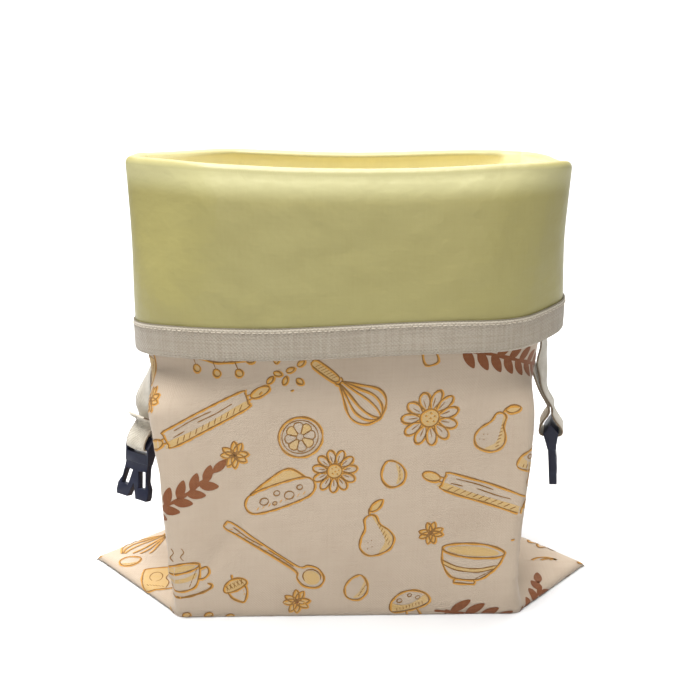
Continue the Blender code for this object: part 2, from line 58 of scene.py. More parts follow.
scene = bpy.context.scene
scene.view_settings.view_transform = "Standard"


def plain_finish(name, colour, roughness):
    finish = bpy.data.materials.new(name)
    finish.use_nodes = True
    shader = finish.node_tree.nodes["Principled BSDF"]
    shader.inputs["Base Color"].default_value = (*colour, 1.0)
    shader.inputs["Roughness"].default_value = roughness
    return finish


SWEEP_WIDTH = 6.0        # metres, of the paper sweep that is both floor and background
SWEEP_FRONT = -2.5
SWEEP_BACK = 1.6
SWEEP_BEND = 0.6
SWEEP_TOP = 3.0
SWEEP_STEPS = 12
sweep_line = [(SWEEP_FRONT, 0.0)]
for step in range(SWEEP_STEPS + 1):
    angle = math.pi / 2 * step / SWEEP_STEPS
    sweep_line.append((SWEEP_BACK - SWEEP_BEND + SWEEP_BEND * math.sin(angle),
                       SWEEP_BEND - SWEEP_BEND * math.cos(angle)))
sweep_line.append((SWEEP_BACK, SWEEP_TOP))
sweep = bmesh.new()
sweep_ends = [[sweep.verts.new((x, y, z)) for y, z in sweep_line]
              for x in (-SWEEP_WIDTH / 2, SWEEP_WIDTH / 2)]
for step in range(len(sweep_line) - 1):
    face = sweep.faces.new((sweep_ends[0][step], sweep_ends[1][step],
                            sweep_ends[1][step + 1], sweep_ends[0][step + 1]))
    face.smooth = True
floor_data = bpy.data.meshes.new("floor")
sweep.to_mesh(floor_data)
sweep.free()
floor = bpy.data.objects.new("floor", floor_data)
scene.collection.objects.link(floor)
floor_data.materials.append(plain_finish("pale_floor", (0.66, 0.66, 0.66), 0.95))

world = bpy.data.worlds.new("studio")
world.use_nodes = True
world.node_tree.nodes["Background"].inputs["Color"].default_value = (1.0, 1.0, 1.0, 1.0)
world.node_tree.nodes["Background"].inputs["Strength"].default_value = 0.16
scene.world = world

# A soft square lamp: where it stands and points to, its side in metres, and its watts.
StudioLight = namedtuple("StudioLight", "name place target size energy")
LIGHTS = (
    StudioLight("top_light", (-0.17, -0.18, 1.00), (0.0, 0.0, 0.12), 0.6, 16.0),
    StudioLight("front_light", (-0.10, -1.40, 0.45), (0.0, 0.0, 0.10), 0.8, 3.8),
    StudioLight("side_light", (1.10, -0.45, 0.55), (0.05, 0.0, 0.15), 0.6, 1.0),
    StudioLight("background_light", (0.0, 0.95, 1.50), (0.0, 1.30, 0.0), 1.6, 60.0),
)
for light in LIGHTS:
    lamp = bpy.data.lights.new(light.name, "AREA")
    lamp.energy = light.energy
    lamp.size = light.size
    stand = bpy.data.objects.new(light.name, lamp)
    stand.location = light.place
    aim = Vector(light.target) - Vector(light.place)
    stand.rotation_euler = aim.to_track_quat("-Z", "Y").to_euler()
    scene.collection.objects.link(stand)

lens = bpy.data.cameras.new("camera")
lens.sensor_width = SENSOR
lens.lens = FOCAL * SENSOR / IMAGE_WIDTH
camera = bpy.data.objects.new("camera", lens)
camera.location = Vector(CAMERA_PLACE) * MM
camera.rotation_euler = (math.radians(90.0 - CAMERA_DOWN), 0.0, 0.0)
scene.collection.objects.link(camera)
scene.camera = camera

# ---------------------------------------------------------------- outer cloth
# The outer cloth is natural linen in a plain weave: two panels joined at the sides and along the
# bottom. The bag's form is worked out here once, as rows that run round the bag, and the lining
# and the tape further on are laid at their own depth in the same form.
FLAT_WIDTH = 300.0       # one panel, side seam to side seam
LEFT_EAR = 60.0          # the corner that each side folds flat on the floor
RIGHT_EAR = 48.0
GIRTH = 2 * FLAT_WIDTH
CUFF_GIRTH = 604.0
RIM_HEIGHT = 245.0
CUFF_EDGE = 147.0
CUFF_DROP = RIM_HEIGHT - CUFF_EDGE
STACK = 2.3              # cloth, gap and lining, where they lie together in the cuff
TURN_RADIUS = 1.2
TURN_HEIGHT = TURN_RADIUS + STACK
WALL_TOP = RIM_HEIGHT - TURN_HEIGHT
ROUND_FRONT = 1.5        # a soft corner reaches further along the front than along the side
CORNER_SAVES = 0.46      # of its short leg, by a soft corner against a sharp one
CORNER_POINTS = 25
SHARPEST = 0.05          # reach of a corner's curve
SOFTEST = 0.49           # of the shorter side
EDGE_ROOM = 4.8          # between body and cuff, at the cuff's lower edge
ROOM_NARROWS = 10.0      # from this far above that edge
FOLLOWS_CUFF = (30.0, 6.0)    # below the cuff's edge, where the body begins to follow the cuff, and does
EAR_THICKNESS = 4.0
EAR_BLUNT = 0.05         # share of an ear that its blunt tip takes
EAR_ROUND = 8.5          # cloth that it takes to go round an ear's folded edge
OVER_EARS = 30.0         # up to here the wall stands a little higher over the ears
LINEN_THICKNESS = 0.7
CUT_EDGE = 1.3           # above the cuff's lower edge, inside the fold of the tape
WELD = 0.01

EAR_COLUMNS = 16
FACE_COLUMNS = 64
PANEL_COLUMNS = 2 * EAR_COLUMNS + FACE_COLUMNS
COLUMNS = 2 * PANEL_COLUMNS
EAR_ROWS = 16
EASED_ROWS = 8           # up the wall from its foot
EASE_ROUNDS = 4
WALL_STEP = 3.0
TURN_STEPS = 10
CUFF_ROWS = 32

Plan = namedtuple("Plan", "height left right front_left front_right back_left back_right")
BODY_PLANS = (
    Plan(0, -91.5, 103, -60.5, -56.5, 60.8, 41.7),
    Plan(20, -92.6, 99.3, -59.2, -56, 57.5, 46),
    Plan(44, -94.2, 100.3, -57, -54.8, 55, 50),
    Plan(80, -95.8, 102.4, -53.8, -52.8, 52.5, 49),
    Plan(112, -100.4, 105.6, -51.5, -51.2, 50, 48.5),
    Plan(147, -105, 110, -50, -50, 50, 50),
)
CUFF_PLANS = (
    Plan(140, -111.7, 121.8, -55.5, -56.5, 56, 57),
    Plan(165, -111, 121, -55, -55.5, 56, 56.5),
    Plan(205, -109.2, 119.4, -52.5, -53.5, 55, 55),
    Plan(245, -109.6, 120.2, -49, -51, 53, 53),
)

# Heights along the girth, from the left seam by the front.
Level = namedtuple("Level", "along height")
RIM_LEVELS = (
    Level(0, 248.5), Level(66, 247.7), Level(129, 244.8), Level(183, 244.8), Level(252, 247.8),
    Level(300, 244.8), Level(375, 246), Level(450, 244.5), Level(530, 247.3),
)
EDGE_LEVELS = (
    Level(0, 142.5), Level(24, 145.5), Level(60, 149), Level(110, 149.2), Level(200, 153.3),
    Level(238, 153.6), Level(266, 157), Level(300, 157.5), Level(335, 156),
    Level(450, 151), Level(560, 145),
)

# A soft fold or crease: its middle, its reach along its length and across it, how far it leans from
# upright towards the right, and its depth outwards.
Fold = namedtuple("Fold", "along height length width lean depth")
BODY_FOLDS = (
    Fold(0, 150, 34, 26, 0, -1.6),          # both sides give way to the straps
    Fold(300, 155, 34, 26, 0, -6.6),
    Fold(28, 152, 14, 12, 0, 4.2),          # here the front's left edge comes up to the cuff
    Fold(268, 134, 20, 18, 0, -3.6),        # and its right edge stays clear of it
    Fold(62, 14, 16, 14, 0, 0.9),           # knuckles over the bottom corners
    Fold(250, 14, 16, 14, 0, 1.4),
    Fold(34, 26, 22, 13, 0, -3),            # hollow beside the left knuckle
    Fold(274, 30, 24, 12, 0, -2.4),
    Fold(150, 60, 45, 60, 0, 1.5),          # belly of the front
    Fold(230, 90, 60, 10, 0, -1.2),         # long trough near the front's right end
    Fold(455, 66, 45, 55, 0, 1.4),
    Fold(395, 50, 40, 14, 0, -1.6),
    Fold(548, 44, 36, 15, 0, -1.8),
    Fold(84, 40, 30, 5, 38, -0.7),          # fine creases
    Fold(70, 96, 26, 4, -16, 0.6),
    Fold(128, 120, 24, 5, 62, -0.5),
    Fold(196, 110, 34, 5, -52, -0.5),
    Fold(214, 30, 28, 5, -40, -0.7),
    Fold(246, 66, 30, 4, 12, 0.7),
    Fold(12, 70, 30, 4, 24, -0.9),
    Fold(588, 66, 28, 4, -20, -0.8),
    Fold(290, 62, 26, 4, -24, -0.8),
    Fold(314, 74, 30, 4, 18, 0.8),
    Fold(370, 36, 32, 5, 42, -0.7),
    Fold(424, 108, 30, 5, -48, 0.5),
    Fold(500, 96, 30, 6, 30, -0.6),
    Fold(532, 34, 28, 5, -36, -0.8),
)
FOLDS_BEHIND = 4         # so many of the body's folds go on behind the cuff
CUFF_FOLDS = (
    Fold(48, 212, 30, 14, 0, -0.9),         # crease below the pinched left end
    Fold(84, 190, 60, 13, -22, -1.1),
    Fold(175, 200, 60, 30, 0, -1),
    Fold(252, 185, 50, 16, 0, -1.3),
    Fold(276, 160, 30, 14, 0, 1.2),
    Fold(350, 195, 50, 20, 0, -1.2),
    Fold(440, 185, 60, 32, 0, 1),
    Fold(520, 200, 50, 24, 0, -1.3),
    Fold(66, 184, 26, 5, -34, -0.5),        # fine creases
    Fold(98, 176, 22, 5, -60, 0.45),
    Fold(150, 206, 30, 6, 66, -0.4),
    Fold(204, 190, 28, 5, 58, 0.45),
    Fold(232, 214, 24, 4, 10, -0.5),
    Fold(246, 196, 34, 4, 4, 0.5),
    Fold(330, 200, 34, 5, 14, -0.6),
    Fold(396, 186, 30, 6, -56, 0.5),
    Fold(470, 206, 28, 6, 50, -0.5),
    Fold(560, 196, 34, 5, -12, -0.6),
    Fold(352, 232, 26, 3.5, 0, -1.8),       # sharp crease inside, at the mouth's right end
)
ROLL_DEPTH = 3.8         # how far the cuff leans in towards its rim
ROLL_HEIGHT = 17.0
LEFT_END = (-58.0, -106.0)    # the lean fades out between these, towards each end of the mouth
RIGHT_END = (80.0, 112.0)
PINCH_Y = -16.0          # the mouth's left end is pinched together about this line
PINCH_FROM = 168.0       # height
PINCH_TO = RIM_HEIGHT - 2.0
PINCH_SHARE = 0.55


def smooth(low, high, value):
    """0 at or below low, 1 at or above high, and a smooth rise between."""
    part = np.clip((value - low) / (high - low), 0.0, 1.0)
    return part * part * (3 - 2 * part)


def smooth_row(rows, value, period=None):
    """The row of a table at a value of its first column, on a curve through the rows."""
    count = len(rows)

    def row(index):
        if period is None:
            return rows[min(max(index, 0), count - 1)]
        turns, place = divmod(index, count)
        return rows[place]._replace(along=rows[place].along + turns * period)

    upper = next((i for i in range(count) if rows[i][0] > value), count)
    if period is None:
        upper = min(max(upper, 1), count - 1)
    before, low, high, after = (row(upper + step) for step in (-2, -1, 0, 1))
    span = high[0] - low[0]
    part = min(max((value - low[0]) / span, 0.0), 1.0)
    result = []
    for a, b, c, d in zip(before, low, high, after):
        rise_low = (c - a) * span / max(high[0] - before[0], span)
        rise_high = (d - b) * span / max(after[0] - low[0], span)
        result.append((2 * part**3 - 3 * part**2 + 1) * b + (part**3 - 2 * part**2 + part) * rise_low
                      + (3 * part**2 - 2 * part**3) * c + (part**3 - part**2) * rise_high)
    return type(rows[0])(*result)


STATIONS = np.concatenate([
    np.linspace(0.0, LEFT_EAR, EAR_COLUMNS + 1)[:-1],
    np.linspace(LEFT_EAR, FLAT_WIDTH - RIGHT_EAR, FACE_COLUMNS + 1)[:-1],
    np.linspace(FLAT_WIDTH - RIGHT_EAR, FLAT_WIDTH, EAR_COLUMNS + 1)])
# Every column's place along the girth: the front from left to right, then the back from right to left.
ALONG = np.concatenate([STATIONS[:-1], GIRTH - STATIONS[:0:-1]])
RIM_LEVEL = np.array([smooth_row(RIM_LEVELS, along, GIRTH).height for along in ALONG])
EDGE_LEVEL = np.array([smooth_row(EDGE_LEVELS, along, GIRTH).height for along in ALONG])
# How deep the cloth is folded under at each column, from the bottom seam to the foot of the wall.
FOOT = LEFT_EAR + (RIGHT_EAR - LEFT_EAR) * np.clip(
    (np.minimum(ALONG, GIRTH - ALONG) - LEFT_EAR) / (FLAT_WIDTH - LEFT_EAR - RIGHT_EAR), 0.0, 1.0)


def half_outline(start, corners, end, softness):
    """Points from one seam to the other round two corners, each softened to a curve."""
    points = [start]
    path = [start, *corners, end]
    for index in (1, 2):
        corner = path[index]
        reach_before, reach_after = (1.0, ROUND_FRONT) if index == 1 else (ROUND_FRONT, 1.0)
        entry = corner + (path[index - 1] - corner).normalized() * softness * reach_before
        leave = corner + (path[index + 1] - corner).normalized() * softness * reach_after
        for part in np.linspace(0.0, 1.0, CORNER_POINTS):
            points.append(entry * (1 - part)**2 + corner * 2 * part * (1 - part) + leave * part**2)
    return np.array([*points, end])


def spread(points, stations):
    """Points of a polyline at the stations, as shares of the panel's width."""
    lengths = np.concatenate([[0.0], np.cumsum(np.linalg.norm(np.diff(points, axis=0), axis=1))])
    wanted = stations / FLAT_WIDTH * lengths[-1]
    return np.stack([np.interp(wanted, lengths, points[:, axis]) for axis in (0, 1)], axis=1)


def plan_ring(plan, girth):
    """The plan's outline at every column. Its corners are as soft as the girth asks."""
    front_left = Vector((plan.left, plan.front_left))
    front_right = Vector((plan.right, plan.front_right))
    back_left = Vector((plan.left, plan.back_left))
    back_right = Vector((plan.right, plan.back_right))
    corners = [front_left, front_right, back_right, back_left]
    sides = sum((a - b).length for a, b in zip(corners, corners[1:] + corners[:1]))
    shortest = min(plan.back_left - plan.front_left, plan.back_right - plan.front_right)
    softness = min(max((sides - girth) / (4 * CORNER_SAVES), SHARPEST), SOFTEST * shortest)
    left_seam = (front_left + back_left) / 2
    right_seam = (front_right + back_right) / 2
    front = spread(half_outline(left_seam, corners[:2], right_seam, softness), STATIONS)
    back = spread(half_outline(left_seam, [back_left, back_right], right_seam, softness), STATIONS)
    return np.concatenate([front[:-1], back[:0:-1]])


def outward(ring):
    """At each point, the level step that moves both neighbouring sides outwards by 1."""
    along = np.roll(ring, -1, axis=0) - ring
    along /= np.linalg.norm(along, axis=1, keepdims=True)
    after = np.stack([along[:, 1], -along[:, 0]], axis=1)
    before = np.roll(after, 1, axis=0)
    return (before + after) / (1 + np.sum(before * after, axis=1, keepdims=True))


def grown(ring, distance):
    return ring + outward(ring) * np.reshape(distance, (-1, 1))


def fold_depth(folds, height):
    """What the folds add to each column at a height."""
    depth = np.zeros(COLUMNS)
    for fold in folds:
        around = (ALONG - fold.along + GIRTH / 2) % GIRTH - GIRTH / 2
        lean = math.radians(fold.lean)
        along_fold = around * math.sin(lean) + (height - fold.height) * math.cos(lean)
        across_fold = around * math.cos(lean) - (height - fold.height) * math.sin(lean)
        depth += fold.depth * np.exp(-(along_fold / fold.length)**2 - (across_fold / fold.width)**2)
    return depth


def folded(ring, folds, height):
    return grown(ring, fold_depth(folds, height))


def cuff_ring(height):
    """The lining's face of the cuff."""
    ring = folded(plan_ring(smooth_row(CUFF_PLANS, height), CUFF_GIRTH), CUFF_FOLDS, height)
    left_end = smooth(*LEFT_END, ring[:, 0])
    right_end = smooth(*RIGHT_END, ring[:, 0])
    roll = ROLL_DEPTH * max(0.0, (height - RIM_HEIGHT + ROLL_HEIGHT) / ROLL_HEIGHT)**2
    ring = grown(ring, -roll * (1 - left_end) * (1 - right_end))
    pinch = smooth(PINCH_FROM, PINCH_TO, height) * left_end
    ring[:, 1] += (PINCH_Y - ring[:, 1]) * PINCH_SHARE * pinch
    return ring


def body_ring(height):
    """The outer face of the body. Behind the cuff it follows the cuff, further in."""
    below = folded(plan_ring(smooth_row(BODY_PLANS, height), GIRTH), BODY_FOLDS, height)
    hidden = smooth(CUFF_EDGE - FOLLOWS_CUFF[0], CUFF_EDGE - FOLLOWS_CUFF[1], height)
    if hidden == 0.0:
        return below
    narrower = smooth(CUFF_EDGE + ROOM_NARROWS, WALL_TOP, height)
    room = EDGE_ROOM + (2 * TURN_RADIUS - EDGE_ROOM) * narrower
    behind = grown(cuff_ring(max(height, CUFF_EDGE)), -STACK - room)
    behind = grown(behind, fold_depth(BODY_FOLDS[:FOLDS_BEHIND], height))
    return below + (behind - below) * hidden


def raised(ring, heights):
    return np.column_stack([ring, np.broadcast_to(heights, COLUMNS)])


def lift(height):
    """Heights of one row of the body, which rises and falls with the rim the more the higher it is."""
    return height + (RIM_LEVEL - RIM_HEIGHT) * (height / RIM_HEIGHT)**2


def ear_point_row(share):
    """A row of the cloth that is folded under, from the bottom seam at 0 to the wall's foot at 1."""
    plan = BODY_PLANS[0]
    from_left = np.minimum(ALONG, GIRTH - ALONG)
    on_front = ALONG <= FLAT_WIDTH
    left_end = from_left <= (FLAT_WIDTH + LEFT_EAR - RIGHT_EAR) / 2
    ear = np.where(left_end, LEFT_EAR, RIGHT_EAR)
    inward = np.where(left_end, from_left, FLAT_WIDTH - from_left) / ear
    left_seam = np.array([plan.left, (plan.front_left + plan.back_left) / 2])
    right_seam = np.array([plan.right, (plan.front_right + plan.back_right) / 2])
    across = np.clip((from_left - LEFT_EAR) / (FLAT_WIDTH - LEFT_EAR - RIGHT_EAR), 0.0, 1.0)[:, None]
    left_foot = np.where(on_front, [[plan.left], [plan.front_left]], [[plan.left], [plan.back_left]]).T
    right_foot = np.where(on_front, [[plan.right], [plan.front_right]], [[plan.right], [plan.back_right]]).T
    seam = left_seam * (1 - across) + right_seam * across
    foot = left_foot * (1 - across) + right_foot * across
    from_tip = np.clip(np.maximum(inward, share), EAR_BLUNT, 1.0)
    reach = np.where(left_end, -ear, ear) * (1 - from_tip) / (1 - EAR_BLUNT)
    tip_way = np.stack([reach, np.zeros(COLUMNS)], axis=1)
    row = seam + tip_way + (foot - seam) * np.minimum(inward, share)[:, None]
    over = np.clip((share - inward) * ear / EAR_ROUND, 0.0, 1.0)
    return np.column_stack([row, EAR_THICKNESS * np.sin(over * math.pi / 2)])


def wall_heights():
    return np.linspace(0.0, WALL_TOP, round(WALL_TOP / WALL_STEP) + 1)[1:]


EAR_TOP = ear_point_row(1.0)[:, 2]


def wall_rows(depth):
    """Rows up the body, moved in by depth from its outer face. The lowest stand on the ears."""
    rows = []
    for height in wall_heights():
        stands_on = EAR_TOP * max(0.0, 1 - height / OVER_EARS)
        rows.append(raised(grown(body_ring(height), -depth), lift(height) + stands_on))
    return rows


def turn_rows(depth):
    """Rows over the rim, between the body's last row and the cuff's first."""
    centre = grown(cuff_ring(RIM_HEIGHT), -STACK - TURN_RADIUS)
    radius = TURN_RADIUS + depth
    rows = []
    for step in range(1, TURN_STEPS):
        angle = math.pi * step / TURN_STEPS
        heights = lift(WALL_TOP) + radius * math.sin(angle)
        rows.append(raised(grown(centre, -radius * math.cos(angle)), heights))
    return rows


def cuff_rows(depth, above_edge=0.0):
    """Rows down the cuff. Depth counts outwards from the cloth's face towards the body."""
    top = lift(WALL_TOP)
    rows = []
    for share in np.linspace(0.0, 1.0, CUFF_ROWS + 1):
        ring_height = RIM_HEIGHT + (CUFF_EDGE + above_edge - RIM_HEIGHT) * share
        heights = top + (EDGE_LEVEL + above_edge - top) * share
        rows.append(raised(grown(cuff_ring(ring_height), depth - STACK), heights))
    return rows


def softened(rows, first, last, rounds):
    """Rows with the creases between two of them eased, and nothing pressed below the floor."""
    grid = np.array(rows)
    for _ in range(rounds):
        middle = grid[first:last]
        around = (grid[first - 1:last - 1] + grid[first + 1:last + 1]
                  + np.roll(middle, 1, axis=1) + np.roll(middle, -1, axis=1)) / 4
        eased = middle + 0.5 * (around - middle)
        eased[..., 2] = np.maximum(eased[..., 2], middle[..., 2])
        grid[first:last] = eased
    return grid


def cloth_mesh(grid, up_the_cloth):
    """A mesh of triangles between rows that run round the bag, with a map in metres of flat cloth."""
    count = grid.shape[1]
    mesh = bmesh.new()
    points = [[mesh.verts.new(point) for point in row] for row in grid * MM]
    flat = mesh.loops.layers.uv.new("flat_cloth")
    for row in range(len(grid) - 1):
        for column in range(count):
            after = (column + 1) % count
            after_along = GIRTH if after == 0 else ALONG[after]
            corners = ((points[row][column], ALONG[column], up_the_cloth[row][column]),
                       (points[row][after], after_along, up_the_cloth[row][after]),
                       (points[row + 1][after], after_along, up_the_cloth[row + 1][after]),
                       (points[row + 1][column], ALONG[column], up_the_cloth[row + 1][column]))
            for half in ((0, 1, 2), (0, 2, 3)):
                face = mesh.faces.new([corners[index][0] for index in half])
                face.smooth = True
                for loop, index in zip(face.loops, half):
                    loop[flat].uv = (corners[index][1] * MM, corners[index][2] * MM)
    bmesh.ops.remove_doubles(mesh, verts=mesh.verts, dist=WELD * MM)
    return mesh


def add_piece(name, mesh, slot_name, *nodes):
    """Puts a finished mesh in the scene, riding on the bag in place of its CAD nodes."""
    data = bpy.data.meshes.new(name)
    mesh.to_mesh(data)
    mesh.free()
    piece = bpy.data.objects.new(name, data)
    scene.collection.objects.link(piece)
    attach(piece, "root")
    if nodes:
        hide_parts(*nodes)
    return piece


def thicken(piece, millimetres):
    """Gives a sheet its thickness, inwards from its face."""
    thickness = piece.modifiers.new("thickness", "SOLIDIFY")
    thickness.thickness = millimetres * MM
    thickness.offset = -1.0


class Tint:
    """An output in a finish's nodes. Sums and products of it add Math nodes."""

    def __init__(self, finish, socket):
        self.finish = finish
        self.socket = socket

    def maths(self, operation, *values):
        return self.finish.node("ShaderNodeMath", {"operation": operation}, dict(enumerate(values)))

    def __add__(self, other):
        return self.maths("ADD", self, other)

    def __radd__(self, other):
        return self.maths("ADD", other, self)

    def __sub__(self, other):
        return self.maths("SUBTRACT", self, other)

    def __rsub__(self, other):
        return self.maths("SUBTRACT", other, self)

    def __mul__(self, other):
        return self.maths("MULTIPLY", self, other)

    def __rmul__(self, other):
        return self.maths("MULTIPLY", other, self)

    def __abs__(self):
        return self.maths("ABSOLUTE", self)

    def wave(self, length):
        """A sine wave along this distance."""
        return self.maths("SINE", self * (2 * math.pi / length))

    def clamped(self, low, high):
        """Rises from 0 to 1 between two values."""
        return self.finish.node("ShaderNodeMapRange", {"interpolation_type": "SMOOTHSTEP"},
                                {"Value": self, "From Min": low, "From Max": high})


class Finish:
    """A material of one piece: its nodes and the Principled shader that they feed."""

    def __init__(self, name, roughness, **constants):
        self.material = plain_finish(name, (0.5, 0.5, 0.5), roughness)
        self.tree = self.material.node_tree
        self.shader = self.tree.nodes["Principled BSDF"]
        for words, value in constants.items():
            self.shader.inputs[words.replace("_", " ")].default_value = value

    def node(self, kind, settings=None, inputs=None, output=0):
        """Adds a node with its settings, then the values or links of its sockets."""
        made = self.tree.nodes.new(kind)
        for words, value in (settings or {}).items():
            setattr(made, words, value)
        for socket, value in (inputs or {}).items():
            if isinstance(value, Tint):
                self.tree.links.new(value.socket, made.inputs[socket])
            else:
                made.inputs[socket].default_value = value
        return Tint(self, made.outputs[output])

    def feed(self, words, value):
        self.tree.links.new(value.socket, self.shader.inputs[words])

    def mix(self, share, low, high):
        """A colour between two others. Each may be a plain colour or an output."""
        sockets = {0: share, 6: low if isinstance(low, Tint) else (*low, 1.0),
                   7: high if isinstance(high, Tint) else (*high, 1.0)}
        return self.node("ShaderNodeMix", {"data_type": "RGBA"}, sockets, output=2)

    def bump(self, height, millimetres):
        normal = self.node("ShaderNodeBump", {},
                           {"Height": height, "Distance": millimetres * MM, "Strength": 1.0})
        self.feed("Normal", normal)

    def flat_place(self, x=1.0, y=1.0):
        """The place on the flat cloth in millimetres, stretched along x and y."""
        flat = self.node("ShaderNodeUVMap", {"uv_map": "flat_cloth"})
        return self.node("ShaderNodeVectorMath", {"operation": "MULTIPLY"},
                         {0: flat, 1: (x / MM, y / MM, 1.0)})

    def object_noise(self, scale, detail=2.0):
        """Noise through a piece that has no flat map."""
        place = self.node("ShaderNodeTexCoord", {}, {}, output=3)
        return self.node("ShaderNodeTexNoise", {}, {"Vector": place, "Scale": scale, "Detail": detail})

    def noise(self, place, scale, detail=2.0):
        return self.node("ShaderNodeTexNoise", {"noise_dimensions": "2D"},
                         {"Vector": place, "Scale": scale, "Detail": detail})

    def split_place(self):
        """The two distances of the flat place, in millimetres."""
        place = self.flat_place()
        return [self.node("ShaderNodeSeparateXYZ", {}, {0: place}, output=axis) for axis in (0, 1)]

    def plain_weave(self, pitch):
        """Height of a plain weave, 0 to 1, and how thick its threads are here, 0 to 1."""
        along, up = self.split_place()
        warp_slubs = self.noise(self.flat_place(1.0, 0.04), 0.9)
        weft_slubs = self.noise(self.flat_place(0.04, 1.0), 0.9)
        threads = along.wave(2 * pitch) * up.wave(2 * pitch) * 0.5 + 0.5
        return threads, (warp_slubs + weft_slubs) * 0.5


LINEN_PITCH = 0.75


def linen_finish(name, colour, shade):
    """Plain woven linen, with thick and thin threads and a little unevenness from wear."""
    linen = Finish(name, 0.86, Sheen_Weight=0.15, Specular_IOR_Level=0.25)
    threads, slubs = linen.plain_weave(LINEN_PITCH)
    patches = linen.noise(linen.flat_place(), 0.03, 3.0)
    dark = slubs.clamped(0.40, 0.70) * 0.25 + patches.clamped(0.4, 0.75) * 0.3 + (1 - threads) * 0.22
    return linen, linen.mix(dark, colour, shade), threads * 0.5 + slubs


LINEN_COLOUR = (0.465, 0.378, 0.29)
LINEN_SHADE = (0.40, 0.315, 0.232)
WEAVE_DEPTH = 0.10
linen, linen_colour, linen_height = linen_finish("printed_linen", LINEN_COLOUR, LINEN_SHADE)
linen.feed("Base Color", linen_colour)
linen.bump(linen_height, WEAVE_DEPTH)

ear_shares = np.linspace(0.0, 1.0, EAR_ROWS + 1)
outer_rows = [ear_point_row(share) for share in ear_shares]
outer_up = [share * FOOT for share in ear_shares]
wall_up = [FOOT + height for height in wall_heights()]
turn_up = [FOOT + WALL_TOP + TURN_RADIUS * math.pi * step / TURN_STEPS for step in range(1, TURN_STEPS)]
cuff_up = [FOOT + RIM_HEIGHT + CUFF_DROP * share for share in np.linspace(0.0, 1.0, CUFF_ROWS + 1)]
outer_grid = np.array(outer_rows + wall_rows(0.0) + turn_rows(0.0) + cuff_rows(0.0, CUT_EDGE))
outer_flat = np.array(outer_up + wall_up + turn_up + cuff_up)
outer_grid = softened(outer_grid, 1, EAR_ROWS + EASED_ROWS, EASE_ROUNDS)
outer_grid[:EAR_ROWS + 1, EAR_TOP == 0.0, 2] = 0.0

outer_cloth = add_piece("linen_cloth", cloth_mesh(outer_grid, outer_flat),
                        "printed_linen", "outer_cloth")
thicken(outer_cloth, LINEN_THICKNESS)
outer_cloth.data.materials.append(linen.material)

# ---------------------------------------------------------------- print
# The linen is printed all over with a kitchen pattern: pen outlines in ochre brown with an amber edge,
# light amber tints, and a few bold brown branches. The ink lies on the threads of the cloth.
PEN_WIDTH = 0.7
AMBER_WIDTH = 1.4
AMBER_SHIFT = (0.4, -0.4)
THIN_WIDTH = 0.6
FINE_WIDTH = 0.55
PEN_STEP = 1.2           # between points of a line
OVAL_STEP = 3.0
TINT_STEP = 3.5
END_TINT_STEP = 1.3      # where the cloth goes round the ends and the ears
ENDS = LEFT_EAR + 8.0    # how far from a seam that is
EAR_LIFT = 0.12          # more, where the cloth bends over an ear
# How far each ink lies off the cloth, so that a pen line covers the tint.
INK_LIFTS = {"tint": 0.07, "amber": 0.10, "bold": 0.12, "pen": 0.14}
REPEAT_HEIGHT = 150.0    # of the pattern up the cloth
PRINTED_TO = 216.0       # the cuff covers what is printed higher up
BACK_SHIFT = 131.0       # the back panel is cut from another place in the pattern
SEAM_MARGIN = 0.6
MOTIF_REACH = 40.0       # no drawing reaches further from its middle


def curve_through(points, step, closed=False):
    """Places a step apart on a smooth curve through a few points, each with its share along them."""
    points = [Vector(point) for point in points]
    count = len(points)
    places = []
    for index in range(count if closed else count - 1):
        if closed:
            before, low, high, after = (points[(index + way) % count] for way in (-1, 0, 1, 2))
        else:
            low, high = points[index], points[index + 1]
            before, after = points[max(index - 1, 0)], points[min(index + 2, count - 1)]
        parts = max(2, round((high - low).length / step))
        for part in range(parts):
            t = part / parts
            place = 0.5 * (2 * low + (high - before) * t + (2 * before - 5 * low + 4 * high - after) * t**2
                           + (3 * low - before - 3 * high + after) * t**3)
            places.append((place, index + t))
    return places if closed else places + [(points[-1], count - 1.0)]


def smooth_line(points, closed=False):
    return [place for place, _ in curve_through(points, PEN_STEP, closed)]


def oval(x, y, width, height, turn=0.0, start=0.0, end=360.0):
    """Points round an oval, or along a part of it."""
    steps = max(6, round(math.radians(end - start) * max(width, height) / OVAL_STEP))
    points = []
    for step in range(steps + (0 if end - start == 360.0 else 1)):
        angle = math.radians(start + (end - start) * step / steps)
        point = Vector((width * math.cos(angle), height * math.sin(angle)))
        point.rotate(Matrix.Rotation(math.radians(turn), 2))
        points.append(Vector((x, y)) + point)
    return points


def turned(points, turn, x=0.0, y=0.0):
    spin = Matrix.Rotation(math.radians(turn), 2)
    return [spin @ Vector(point) + Vector((x, y)) for point in points]


class Motif:
    """One drawing of the pattern: its lines and tinted shapes by ink, in millimetres."""

    def __init__(self):
        self.lines = []
        self.shapes = []

    def line(self, *points, width=PEN_WIDTH, closed=False, ink="pen"):
        line = smooth_line(points, closed)
        self.lines.append((ink, width, line + line[:1] if closed else line))
        if ink == "pen" and width >= PEN_WIDTH:
            edge = [point + Vector(AMBER_SHIFT) for point in line]
            self.lines.append(("amber", AMBER_WIDTH, edge + edge[:1] if closed else edge))

    def shape(self, *points, ink="tint"):
        """A closed outline round a tint."""
        self.line(*points, closed=True)
        self.fill(*points, ink=ink)

    def fill(self, *points, ink="tint"):
        self.shapes.append((ink, smooth_line(points, True)))

    def hatch(self, start, end, stroke, count, ink="pen"):
        """Short strokes set out from start to end."""
        for step in range(count):
            place = Vector(start).lerp(Vector(end), step / max(count - 1, 1))
            self.line(place, place + Vector(stroke), width=FINE_WIDTH, ink=ink)


